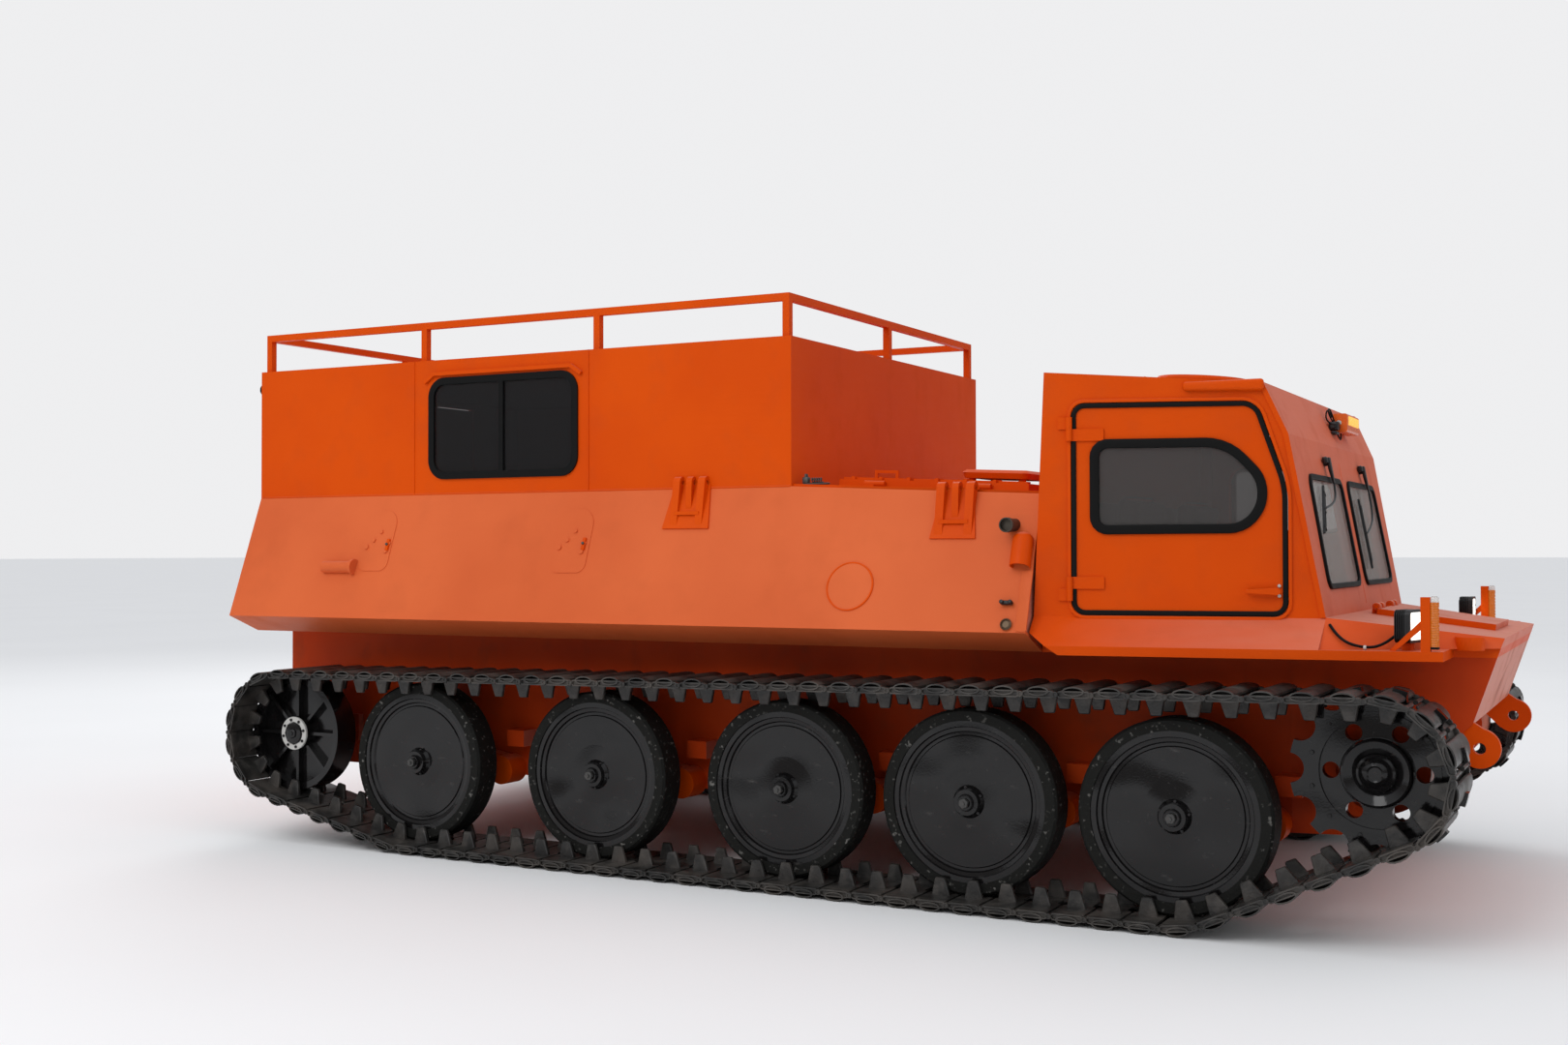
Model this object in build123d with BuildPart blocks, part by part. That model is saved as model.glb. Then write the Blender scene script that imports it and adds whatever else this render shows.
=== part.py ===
from build123d import *
import os
from math import atan2, cos, degrees, hypot, pi, radians, sin, tan

os.makedirs("parts", exist_ok=True)

# Frame: X forward, Y to the left, Z up, millimetres, with the ground at Z = 0.
# Right-hand pieces have negative Y and are mirrored from the left-hand ones.

# The measured places below count from amidships, this far behind the middle of the length
origin_shift = 36.5

# Clearances
seat_gap = 0.3
edge_gap = 8
leaf_gap = 5
pin_gap = 0.5

# Track
track_centre = 1057
track_width = 390
band_thickness = 30
grouser_height = 12
grouser_root = 62
grouser_tip = 34
link_count = 87

# Road wheels, their centres along the hull from rear to front
wheel_stations = (-1620, -700, 166, 920, 1667)
wheel_radius = 336
tyre_depth = 44
tyre_width = 130
tyre_edge = 9
hub_radius = 60

# Sprocket and idler
sprocket_x = 2321
sprocket_z = 564
sprocket_teeth = 12
sprocket_pitch_radius = 243
sprocket_tip_radius = 279
sprocket_gullet = 50
sprocket_width = 40
sprocket_ring_radius = 190
sprocket_ring_width = 14
sprocket_ring_proud = 8
sprocket_flange_radius = 100
sprocket_hole_radius = 27
sprocket_hole_circle = 145
sprocket_holes = 6
final_drive_radius = 150
idler_x = -2331
idler_z = 466
idler_radius = 254
idler_width = 116
idler_web = 24
idler_ribs = 8
idler_rib_width = 14
idler_rib_reach = 30
idler_bolts = 8
idler_bolt_circle = 44
idler_bolt_radius = 8

# Swing arms
arm_reach = 262
arm_pivot_z = 330
arm_pivot_radius = 62
arm_width = 50
arm_tub_gap = 27
axle_radius = 34

# Lower hull
hull_rear = -2682
plate = 10
lining = 40
tub_half_width = 773
belly_z = 300
rear_knee_z = 560
rear_belly_x = -2420
front_belly_x = 2150
bow_foot_x = 2566
bow_foot_z = 691
bow_half_width = 644
bow_taper_x = 1990
bow_top_x = 2667
bow_top_z = 984

# Upper hull
underside_z = 918
chamfer_y = 995
sponson_half_width = 1172
sponson_edge_z = 993
deck_z = 1536
deck_front_z = 1489
house_half_width = 977
rim = 70

# Rear house
house_front = 130
roof_z = 2127
window_rear = -1660
window_front = -894
window_foot = 1616
window_head = 2032
window_corner = 70
window_bar = 22
gasket = 15
gasket_proud = 9
glass_thickness = 8
rail_tube = 30
rail_height = 173
rail_inset = 32
rail_posts_x = (-2650, -1721, -799, 98)
gutter_points = ((-1697, 2030), (-1644, 2065), (-913, 2065), (-860, 2030))
gutter_width = 16
gutter_proud = 14

# Rear doors
rear_door_half = 550
rear_door_foot = 960
rear_door_head = 2060
rear_hinge_heights = (1150, 1500, 1880)

# Cab
cab_rear_x = 1160
cab_rear_roof_x = 1198
cab_side_rear_y = sponson_half_width - 90
cab_side_front_y = sponson_half_width - 302
screen_foot_x = 2126
screen_foot_z = 1053
brow_x = 2011
brow_z = 1682
roof_front_x = 1931
roof_front_z = 1862
roof_rear_z = 1917
crease_z = 1050
cab_wall = 40
roof_bead_rear = (1672, 1861)
roof_bead_front = (1934, 1844)
roof_bead_width = 26
roof_bead_proud = 14
ridge_width = 18
ridge_proud = 6

# Cab doors, measured along the wall from its rear edge
door_rear_u = 136
door_front_u = 866
door_foot = 1057
door_head = 1802
door_head_front = 1788
door_slant_u = 767
door_slant_z = 1502
door_corner = 24
door_window_points = ((214, 1354), (214, 1660), (668, 1658), (786, 1530), (786, 1440), (730, 1356))
door_window_radii = (72, 72, 90, 60, 60, 70)

# Door hinges
# Foot of the door's barrel, and whether the wall's barrel stands under (-1) or over it (1)
cab_hinges = ((1148, -1), (1670, 1))
hinge_radius = 11
hinge_pin_radius = 6
hinge_knuckle = 42
hinge_offset = 13
hinge_leaf = 120
hinge_leaf_thickness = 8

# Windscreens, measured up the screen plate from its foot
screen_inner = 78
screen_outer_foot = 706
screen_outer_head = 684
screen_low = 108
screen_high = 494
screen_corner = 42

# Nose and fenders
fender_front_x = 2508
fender_front_y = sponson_half_width - 224
fender_step_x = 1271
fender_thickness = 32
nose_foot_rear_y = sponson_half_width - 187
nose_foot_front_y = bow_half_width + 6
nose_edge_front_y = bow_half_width - 8
hood_lid_rear_x = 2196
hood_lid_front_x = 2606
hood_lid_half = 246
hood_lid_thickness = 22
hood_lid_lap = 24

# Roof hatches
hatch_x = 1600
hatch_y = 430
hatch_radius = 195
hatch_height = 46
hatch_lap = 22

# Engine deck
bay_rear_x = 262
bay_front_x = 1048
bay_half_width = 820
bay_lap = 40
deck_lid_thickness = 28
louvre_count = 7
louvre_width = 22
engine_length = 800
engine_width = 640
engine_height = 640
engine_x = 640

# Lamps
lamp_post_x = 2455
lamp_post_y = sponson_half_width - 232
lamp_post_size = 30
lamp_post_height = 178
lamp_size = (60, 124, 110)


# Hatch seats and lugs
hatch_edge = 17
hatch_seat = 20
hatch_thickness = 14
hatch_crown = 12
hatch_crown_taper = 30
hatch_tongue = 60
hinge_lug = 20
hood_hinge_y = 150
nose_wall = 25

# Door handle
handle_u = 782
handle_z = 1142
handle_length = 128
handle_width = 24
handle_reach = 30
handle_post = 48

# Engine deck fittings
deck_half_width = house_half_width - 12
bay_bar = 20
bay_hinge_y = 833
bay_hinges = (160, 600)
louvre_pitch = 84
louvre_margin = 100
louvre_length = 520
vent_x = 800
vent_y = 380
vent_size = (270, 300)
vent_post = 30
vent_gap = 25
vent_cover = 22
vent_flare = 24
vent_crown = 12
vent_crown_taper = 55
lid_panels = ((12, 292), (312, 776))
lid_panel_margin = 36
lid_panel_height = 8
lid_tab = 14
lid_tab_length = 64
lid_tab_height = 12
lid_tab_pitch = 118
lid_tabs = 6
lid_handle_x = 150
lid_handle_y = 700
lid_handle_length = 90
lid_handle_height = 42
lid_handle_rod = 12

# Fittings on the sloping sides: rear and front ends along X, lower and upper heights
lift_pads = ((-425, -210, 1372, 1560), (748, 928, 1326, 1514))
port_pads = ((-1983, -1818, 1199, 1466), (-938, -766, 1195, 1460))
cover_proud = 3
port_corner = 40
# Port bolts and latch from the port's rear lower corner: forward, up the slope, radius
port_bolts = ((26, 110, 11), (60, 142, 9), (92, 182, 9), (140, 92, 11), (152, 128, 8))
port_bolt_proud = 9
lift_base = 8
lift_flare = 26
lift_cheek = 32
lift_spread = 58
lift_tongue = 26
lift_bar_share = 0.34
lift_bar = 14
lift_foot_round = 9
lift_head_round = 24
lift_head_reach = 18
lift_hole = 10
side_plate_x = 450
side_plate_z = 1151
side_plate_radius = 95
side_stub_x = -2085
side_stub_z = 1216
side_stub_length = 172
side_stub_radius = 27
side_stub_reach = 10
side_stub_flange = 35
side_stub_flange_length = 14
exhaust_x = 1070
exhaust_z = 1375
exhaust_radius = 24
exhaust_wall = 5
exhaust_length = 120
exhaust_reach = 62
air_hood_x = 1078
air_hood_width = 76
air_hood_low_z = 1221
air_hood_high_z = 1342
air_hood_reach = 62
air_hood_wall = 6

# Front lamps
lamp_x = 2390
lamp_y = sponson_half_width - 303
lamp_low_z = 975
lamp_corner = 18
brace_points = ((2340, 950), (2360, 950), (2450, 1030), (2450, 1060))
marker_depth = 24
marker_height = 150
rear_lamp_y = house_half_width - 77
rear_lamp_z = 1380
rear_lamp_width = 90
corner_lamp_y = house_half_width - 27
corner_lamp_z = 2046
corner_lamp_radius = 20
corner_lamp_length = 26
cable_radius = 5
# Cable's corners: forward, inward from the sponson's widest line, and up
cable_run = (
    (2143, 278.8, 1031.1), (2178, 242, 984), (2250, 240, 957), (2315, 264, 962),
    (2354, 296, 1000),
)
cable_points = [(x, sponson_half_width - inward, z) for x, inward, z in cable_run]
cable_radii = (80, 100, 90)
gland_radius = 9
gland_length = 20

# Light bar and wipers
bar_middle_y = 251
bar_length = 272
bar_height = 73
bar_depth = 60
bar_rear_x = 1980
bar_foot = 1760
bar_bracket = 40
bar_corner = 12
wiper_places = ((-330, -330), (440, 440))
wiper_pivot = 567
wiper_tip = 300
wiper_boss = 16
wiper_proud = 26
wiper_arm = 12
wiper_blade = 260

# Towing plates
tow_x = 2587
tow_y = 646
tow_z = 611
tow_radius = 67
tow_hole = 20
tow_thickness = 30
tow_root = ((2475, 625), (2540, 560), (2600, 677), (2566, 700))
tow_rear_reach = 24
tow_rear_z = 640
tow_rear_radius = 34

# Lug on each side of the bow
bow_lug_x = 2567
bow_lug_y = 698
bow_lug_z = 957
bow_lug_radius = 41
bow_lug_thickness = 12

# Running gear details
tooth_depth = 12
tooth_start = 0
tooth_slot = 64
tooth_room = 4
# Sprocket hub steps: radius, reach from the sprocket's outer face
sprocket_steps = ((100, 16), (60, 32), (35, 44))
final_drive_step = 70
idler_hub = 62
idler_rim = 28
idler_bracket = 30
arm_boss = 30
bump_ahead = 330
bump_z = 470
bump_length = 90
bump_height = 70
bump_reach = 90

# Inside
cab_floor_z = 640
seat_y = 430
seat_width = 480
seat_profile = ((1240, 640), (1760, 640), (1760, 1050), (1420, 1030), (1340, 1500), (1230, 1500))
dash_rear_x = 1900
dash_low_z = 960
dash_high_z = 1090
dash_rise = 20
dash_half_width = 700
bench_rear_x = -2400
bench_length = 2400
bench_section = ((520, 928), (940, 928), (940, 1330), (520, 1330))


def write_piece(piece, name):
    """Write a piece, moved so that the middle of the overall length is at X = 0."""
    placed = piece.part.moved(Location((origin_shift, 0, 0)))
    placed.label = name
    export_step(placed, f"parts/{name}.step")


def write_both(piece, name):
    """Write the left-hand piece and its mirror image as one."""
    with BuildPart() as couple:
        add(piece.part)
        mirror(piece.part, about=Plane.XZ)
    write_piece(couple, name)


def write_pair(piece, name):
    """Write the left-hand piece and its mirror image."""
    with BuildPart() as other:
        mirror(piece.part, about=Plane.XZ)
    write_piece(piece, f"{name}_left")
    write_piece(other, f"{name}_right")


def outline(points):
    """Closed straight-sided face, its points in the sketch's own coordinates."""
    Polygon(*points, align=None)


def cable_socket(place, before, radius, length):
    """Socket that a cable ends in, on the line of the cable's run that ends there."""
    towards = Vector(*place) - Vector(*before)
    with Locations(Plane(origin=place, z_dir=towards)):
        Cylinder(radius, length, align=(Align.CENTER, Align.CENTER, Align.MIN))


def both_sides(points):
    """Half section given from the centre line outwards, completed by its mirror image."""
    return tuple(points) + tuple((-y, z) for y, z in reversed(points))


def wheel_plane(x, z):
    """Plane through a wheel's axis: local x runs along Y, local y is the radius."""
    return Plane(origin=(x, 0, z), x_dir=(0, 1, 0), z_dir=(1, 0, 0))


def along(start, end, share):
    return start + (end - start) * share


# Places worked out from the sizes above
band_top = grouser_height + band_thickness
wheel_z = band_top + seat_gap + wheel_radius
pitch_z = grouser_height + band_thickness / 2
rim_radius = wheel_radius - tyre_depth
hull_length = cab_rear_x - hull_rear
deck_slope = (deck_z - deck_front_z) / (cab_rear_x - house_front)
deck_angle = degrees(atan2(deck_z - deck_front_z, cab_rear_x - house_front))
bow_lean = (bow_top_x - bow_foot_x) / (bow_top_z - bow_foot_z)
bow_underside_x = bow_foot_x + (underside_z - bow_foot_z) * bow_lean
cab_run = screen_foot_x - cab_rear_x
cab_angle = degrees(atan2(cab_side_rear_y - cab_side_front_y, cab_run))
cab_cos = cos(radians(cab_angle))
cab_sin = sin(radians(cab_angle))
slope_angle = degrees(atan2(sponson_half_width - house_half_width, deck_z - sponson_edge_z))
screen_angle = degrees(atan2(screen_foot_x - brow_x, brow_z - screen_foot_z))
lip_z = underside_z + fender_thickness
lip_slope = (sponson_half_width - fender_front_y) / (fender_front_x - cab_rear_x)
arm_inner_y = tub_half_width + arm_tub_gap


def deck_height(x):
    return deck_z - deck_slope * (x - house_front)


def lip_y(x):
    return sponson_half_width - lip_slope * (x - cab_rear_x)


def tub_side_y(x, inset=0):
    share = max(0, (x - bow_taper_x) / (bow_top_x - bow_taper_x))
    return along(tub_half_width, bow_half_width, share) - inset


def side_plane(depth=0):
    """Left cab wall: local x runs forward, local y up, and the normal points inward."""
    corner = (cab_rear_x - depth * cab_sin, cab_side_rear_y - depth * cab_cos, 0)
    return Plane(origin=corner, x_dir=(cab_cos, -cab_sin, 0), z_dir=(-cab_sin, -cab_cos, 0))


def side_point(u, outward=0):
    """Plan position of a place u along the left cab wall, outward from its face."""
    x = cab_rear_x + u * cab_cos + outward * cab_sin
    y = cab_side_rear_y - u * cab_sin + outward * cab_cos
    return x, y


def screen_plane(depth=0):
    """Screen plate: local x runs to the left, local y up the plate, normal outward."""
    lean = radians(screen_angle)
    origin = (screen_foot_x - depth * cos(lean), 0, screen_foot_z - depth * sin(lean))
    return Plane(origin=origin, x_dir=(0, 1, 0), z_dir=(cos(lean), 0, sin(lean)))


def slope_y(z):
    """Distance of the left sloping side from the centre line at a height."""
    return sponson_half_width - (z - sponson_edge_z) * tan(radians(slope_angle))


def slope_plane(height=0):
    """Left sloping hull side: local x forward, local y up the slope, normal inward."""
    lean = radians(slope_angle)
    origin = (0, sponson_half_width + height * cos(lean), sponson_edge_z + height * sin(lean))
    return Plane(origin=origin, x_dir=(1, 0, 0), z_dir=(0, -cos(lean), -sin(lean)))


# Lower hull, an open tub whose sides draw in towards the bow
tub_profile = (
    (hull_rear, underside_z),
    (hull_rear, rear_knee_z),
    (rear_belly_x, belly_z),
    (front_belly_x, belly_z),
    (bow_foot_x, bow_foot_z),
    (bow_underside_x, underside_z),
)


def tub_plan(inset):
    """Plan of the tub from the rear to the bow, drawn in by a wall."""
    stations = (hull_rear, bow_taper_x, bow_top_x)
    half = [(x, tub_side_y(x, inset)) for x in stations]
    return tuple(half) + tuple((x, -y) for x, y in reversed(half))


with BuildPart() as tub_space:
    with BuildSketch(Plane.XY.offset(belly_z)):
        outline(tub_plan(plate))
    extrude(amount=underside_z - belly_z)
    with BuildSketch(Plane.XZ):
        outline(tub_profile)
        offset(amount=-plate, kind=Kind.INTERSECTION)
    extrude(amount=tub_half_width, both=True, mode=Mode.INTERSECT)

with BuildPart() as tub_block:
    with BuildSketch(Plane.XY.offset(belly_z)):
        outline(tub_plan(0))
    extrude(amount=underside_z - belly_z)
    with BuildSketch(Plane.XZ):
        outline(tub_profile)
    extrude(amount=tub_half_width, both=True, mode=Mode.INTERSECT)

with BuildPart() as lower_hull:
    add(tub_block.part)
    add(tub_space.part, mode=Mode.SUBTRACT)
    with BuildSketch(Plane.XY.offset(underside_z)):
        with Locations((hull_rear + plate, 0)):
            Rectangle(bow_taper_x - hull_rear - plate, 2 * (tub_half_width - plate),
                      align=(Align.MIN, Align.CENTER))
    extrude(amount=-2 * plate, mode=Mode.SUBTRACT)
write_piece(lower_hull, "lower_hull")


# Upper hull: sponsons over the tracks and sides that lean in towards the deck
hull_section = (
    (tub_half_width, underside_z),
    (chamfer_y, underside_z),
    (sponson_half_width, sponson_edge_z),
    (house_half_width, deck_z),
)
with BuildPart() as upper_block:
    with BuildSketch(Plane.YZ.offset(hull_rear)):
        outline(both_sides(hull_section))
    extrude(amount=hull_length)

with BuildPart() as upper_hull:
    add(upper_block.part)
    with BuildSketch(Plane.YZ.offset(hull_rear + lining)):
        outline(both_sides(hull_section))
        offset(amount=-plate, kind=Kind.INTERSECTION)
    extrude(amount=hull_length, mode=Mode.SUBTRACT)
    with BuildSketch(Plane.YZ.offset(hull_rear + lining)):
        Rectangle(2 * (tub_half_width - plate), 4 * underside_z)
    extrude(amount=hull_length, mode=Mode.SUBTRACT)
    with BuildSketch(Plane.YZ.offset(hull_rear + lining)):
        with Locations((0, deck_z)):
            Rectangle(2 * (house_half_width - rim), 4 * plate)
    extrude(amount=hull_length, mode=Mode.SUBTRACT)
    with BuildSketch(Plane.XZ):
        outline(((house_front, deck_z), (cab_rear_x, deck_front_z), (cab_rear_x, deck_z)))
    extrude(amount=sponson_half_width, both=True, mode=Mode.SUBTRACT)
    with BuildSketch(Plane.YZ.offset(hull_rear)):
        with Locations((0, rear_door_foot)):
            Rectangle(2 * rear_door_half, 2 * deck_z, align=(Align.CENTER, Align.MIN))
    extrude(amount=lining, mode=Mode.SUBTRACT)
write_piece(upper_hull, "upper_hull")


# Bulkheads each side of the engine bay, inside the hull
bulkhead_section = (
    (tub_half_width - plate - seat_gap, belly_z + plate + seat_gap),
    (tub_half_width - plate - seat_gap, underside_z + plate + seat_gap),
    (chamfer_y - plate, underside_z + plate + seat_gap),
    (sponson_half_width - 2 * plate, sponson_edge_z + plate / 2),
    (house_half_width - 2 * plate, deck_front_z - 2 * plate),
)
with BuildPart() as bulkheads:
    for x in (house_front + plate, cab_rear_x - 2 * plate):
        with BuildSketch(Plane.YZ.offset(x)):
            outline(both_sides(bulkhead_section))
        extrude(amount=plate)
write_piece(bulkheads, "engine_bulkheads")

with BuildPart() as engine:
    with Locations((engine_x, 0, belly_z + plate)):
        Box(engine_length, engine_width, engine_height,
            align=(Align.CENTER, Align.CENTER, Align.MIN))
write_piece(engine, "engine")


# Rear house
window_centre = ((window_rear + window_front) / 2, (window_foot + window_head) / 2)
window_length = window_front - window_rear
window_height = window_head - window_foot


def window_shape(growth, mode=Mode.ADD):
    """House window outline, grown or shrunk all round."""
    with Locations(window_centre):
        RectangleRounded(window_length + 2 * growth, window_height + 2 * growth,
                         window_corner + growth, mode=mode)


house_length = house_front - hull_rear
with BuildPart() as rear_house:
    with BuildSketch(Plane.XY.offset(deck_z)):
        with Locations((hull_rear, 0)):
            Rectangle(house_length, 2 * house_half_width, align=(Align.MIN, Align.CENTER))
    extrude(amount=roof_z - deck_z)
    with BuildSketch(Plane.XY.offset(deck_z)):
        with Locations((hull_rear + lining, 0)):
            Rectangle(house_length - 2 * lining, 2 * (house_half_width - lining),
                      align=(Align.MIN, Align.CENTER))
    extrude(amount=roof_z - deck_z - lining, mode=Mode.SUBTRACT)
    with BuildSketch(Plane.XZ):
        window_shape(0)
    extrude(amount=house_half_width, both=True, mode=Mode.SUBTRACT)
    with BuildSketch(Plane.YZ.offset(hull_rear)):
        with Locations((0, rear_door_foot)):
            Rectangle(2 * rear_door_half, rear_door_head - rear_door_foot,
                      align=(Align.CENTER, Align.MIN))
    extrude(amount=lining, mode=Mode.SUBTRACT)
    for side in (1, -1):
        with BuildSketch(Plane.XZ.offset(-side * house_half_width)):
            with BuildLine():
                Polyline(*gutter_points)
            trace(line_width=gutter_width)
        extrude(amount=-side * gutter_proud)
write_piece(rear_house, "rear_house")

with BuildPart() as house_gaskets:
    with BuildSketch(Plane.XZ.offset(-house_half_width)):
        window_shape(gasket)
        window_shape(-gasket, mode=Mode.SUBTRACT)
        with Locations(window_centre):
            Rectangle(window_bar, window_height)
    extrude(amount=-gasket_proud)
    mirror(about=Plane.XZ)
write_piece(house_gaskets, "house_window_gaskets")

with BuildPart() as house_glass:
    with BuildSketch(Plane.XZ.offset(seat_gap - house_half_width)):
        window_shape(-seat_gap)
    extrude(amount=glass_thickness)
    mirror(about=Plane.XZ)
write_piece(house_glass, "house_window_glass")

rail_y = house_half_width - rail_inset
rail_rear = rail_posts_x[0]
rail_front = rail_posts_x[-1]
with BuildPart() as roof_rail:
    with BuildSketch(Plane.XY.offset(roof_z + rail_height)):
        with Locations(((rail_rear + rail_front) / 2, 0)):
            Rectangle(rail_front - rail_rear + rail_tube, 2 * rail_y + rail_tube)
            Rectangle(rail_front - rail_rear - rail_tube, 2 * rail_y - rail_tube,
                      mode=Mode.SUBTRACT)
    extrude(amount=-rail_tube)
    with BuildSketch(Plane.XY.offset(roof_z)):
        for x in rail_posts_x:
            with Locations((x, rail_y), (x, -rail_y)):
                Rectangle(rail_tube, rail_tube)
        with Locations((rail_rear, 0), (rail_front, 0)):
            Rectangle(rail_tube, rail_tube)
    extrude(amount=rail_height - rail_tube)
write_piece(roof_rail, "roof_rail")


# Rear doors, two leaves hinged at their outer edges
rear_leaf = rear_door_half - edge_gap - leaf_gap
rear_hinge_x = hull_rear - hinge_offset


def knuckle(x, y, z, length, bore):
    """Hinge barrel standing on Z, bored when it turns on a pin."""
    stand = (Align.CENTER, Align.CENTER, Align.MIN)
    with Locations((x, y, z)):
        Cylinder(hinge_radius, length, align=stand)
        if bore:
            Cylinder(hinge_pin_radius + pin_gap, length, align=stand, mode=Mode.SUBTRACT)


with BuildPart() as rear_door:
    with BuildSketch(Plane.YZ.offset(hull_rear)):
        with Locations((leaf_gap, rear_door_foot + edge_gap)):
            Rectangle(rear_leaf, rear_door_head - rear_door_foot - 2 * edge_gap,
                      align=(Align.MIN, Align.MIN))
    extrude(amount=lining - edge_gap / 2)
    with BuildSketch(Plane.YZ.offset(hull_rear)):
        for z in rear_hinge_heights:
            with Locations((rear_door_half, z)):
                Rectangle(hinge_leaf, hinge_knuckle, align=(Align.MAX, Align.MIN))
    extrude(amount=-hinge_leaf_thickness)
    for z in rear_hinge_heights:
        knuckle(rear_hinge_x, rear_door_half, z, hinge_knuckle, bore=True)
write_pair(rear_door, "rear_door")

with BuildPart() as rear_hinges:
    with BuildSketch(Plane.YZ.offset(hull_rear)):
        for z in rear_hinge_heights:
            with Locations((rear_door_half, z - hinge_knuckle - seat_gap)):
                Rectangle(hinge_leaf / 2, hinge_knuckle, align=(Align.MIN, Align.MIN))
    extrude(amount=-hinge_leaf_thickness)
    for z in rear_hinge_heights:
        foot = z - hinge_knuckle - seat_gap
        knuckle(rear_hinge_x, rear_door_half, foot, hinge_knuckle, bore=False)
        with Locations((rear_hinge_x, rear_door_half, foot)):
            Cylinder(hinge_pin_radius, 2 * hinge_knuckle,
                     align=(Align.CENTER, Align.CENTER, Align.MIN))
    mirror(about=Plane.XZ)


# Cab shell: walls that draw in towards the front, a brow and a leaning screen plate
cab_profile = (
    (cab_rear_x, crease_z),
    (screen_foot_x, crease_z),
    (screen_foot_x, screen_foot_z),
    (brow_x, brow_z),
    (roof_front_x, roof_front_z),
    (cab_rear_roof_x, roof_rear_z),
)
roof_slope = (roof_rear_z - roof_front_z) / (roof_front_x - cab_rear_roof_x)
roof_angle = degrees(atan2(roof_rear_z - roof_front_z, roof_front_x - cab_rear_roof_x))
door_hinge_u = door_rear_u - edge_gap


def cab_plan(inset):
    """Plan of the cab walls, drawn in by a wall's thickness."""
    rear = cab_side_rear_y - inset
    front = cab_side_front_y - inset
    return ((cab_rear_x, -rear), (screen_foot_x, -front), (screen_foot_x, front), (cab_rear_x, rear))


def skirt(x, inset):
    """Section of the sloping band under the cab wall at x."""
    share = (x - cab_rear_x) / cab_run
    wall_y = along(cab_side_rear_y, cab_side_front_y, share) - inset
    foot_y = lip_y(x) - inset
    return ((-foot_y, lip_z), (foot_y, lip_z), (wall_y, crease_z), (-wall_y, crease_z))


def roof_height(x):
    return roof_rear_z - roof_slope * (x - cab_rear_roof_x)


def roof_plane(x, y, height=0):
    """Plane on the cab roof over (x, y): local x forward along the roof, normal upward."""
    lean = radians(roof_angle)
    origin = (x + height * sin(lean), y, roof_height(x) + height * cos(lean))
    return Plane(origin=origin, x_dir=(cos(lean), 0, -sin(lean)), z_dir=(sin(lean), 0, cos(lean)))


with BuildSketch() as door_shape:
    outline(((door_rear_u, door_foot), (door_rear_u, door_head), (door_slant_u, door_head_front),
             (door_front_u, door_slant_z), (door_front_u, door_foot)))
    fillet(door_shape.vertices(), door_corner)

with BuildSketch() as door_window:
    outline(door_window_points)
    for corner, radius in zip(door_window_points, door_window_radii):
        fillet(door_window.vertices().sort_by_distance(corner)[0], radius)

with BuildSketch() as screen_shape:
    outline(((screen_inner, screen_low), (screen_outer_foot, screen_low),
             (screen_outer_head, screen_high), (screen_inner, screen_high)))
    fillet(screen_shape.vertices(), screen_corner)
    mirror(about=Plane.YZ)

with BuildPart() as cab_space:
    with BuildSketch(Plane.XY.offset(crease_z)):
        outline(cab_plan(cab_wall))
    extrude(amount=roof_rear_z - crease_z)
    with BuildSketch(Plane.XZ):
        outline(cab_profile)
        offset(amount=-cab_wall, kind=Kind.INTERSECTION)
    extrude(amount=cab_side_rear_y, both=True, mode=Mode.INTERSECT)

with BuildPart() as skirt_space:
    for x in (fender_step_x, screen_foot_x - cab_wall):
        with BuildSketch(Plane.YZ.offset(x)):
            outline(skirt(x, cab_wall))
    loft(ruled=True)

with BuildPart() as door_cut:
    with BuildSketch(side_plane(-cab_wall)):
        offset(door_shape.sketch, amount=edge_gap)
    extrude(amount=3 * cab_wall)
    mirror(about=Plane.XZ)

with BuildPart() as step_cut:
    with BuildSketch(Plane.XZ):
        outline(((cab_rear_x, sponson_edge_z), (fender_step_x, underside_z),
                 (cab_rear_x, underside_z)))
    extrude(amount=2 * sponson_half_width, both=True)
    with BuildSketch(Plane.XZ):
        outline(((cab_rear_x, sponson_edge_z), (fender_step_x, underside_z),
                 (cab_rear_x, underside_z)))
    extrude(amount=chamfer_y, both=True, mode=Mode.SUBTRACT)

bead_run = (roof_bead_front[0] - roof_bead_rear[0]) / cab_cos
bead_fall = degrees(atan2(roof_bead_rear[1] - roof_bead_front[1], bead_run))
bead_u = ((roof_bead_front[0] + roof_bead_rear[0]) / 2 - cab_rear_x) / cab_cos
bead_z = (roof_bead_front[1] + roof_bead_rear[1]) / 2
ridge_line = [((x - cab_rear_x) / cab_cos, z) for x, z in cab_profile[2:5]]
with BuildPart() as cab_trim:
    with BuildSketch(side_plane()):
        with Locations(Location((bead_u, bead_z, 0), (0, 0, -bead_fall))):
            SlotOverall(bead_run, roof_bead_width)
    extrude(amount=-roof_bead_proud)
    with BuildSketch(side_plane()):
        outline(ridge_line + [(u - ridge_width, z) for u, z in reversed(ridge_line)])
    extrude(amount=-ridge_proud)
    mirror(about=Plane.XZ)

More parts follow.
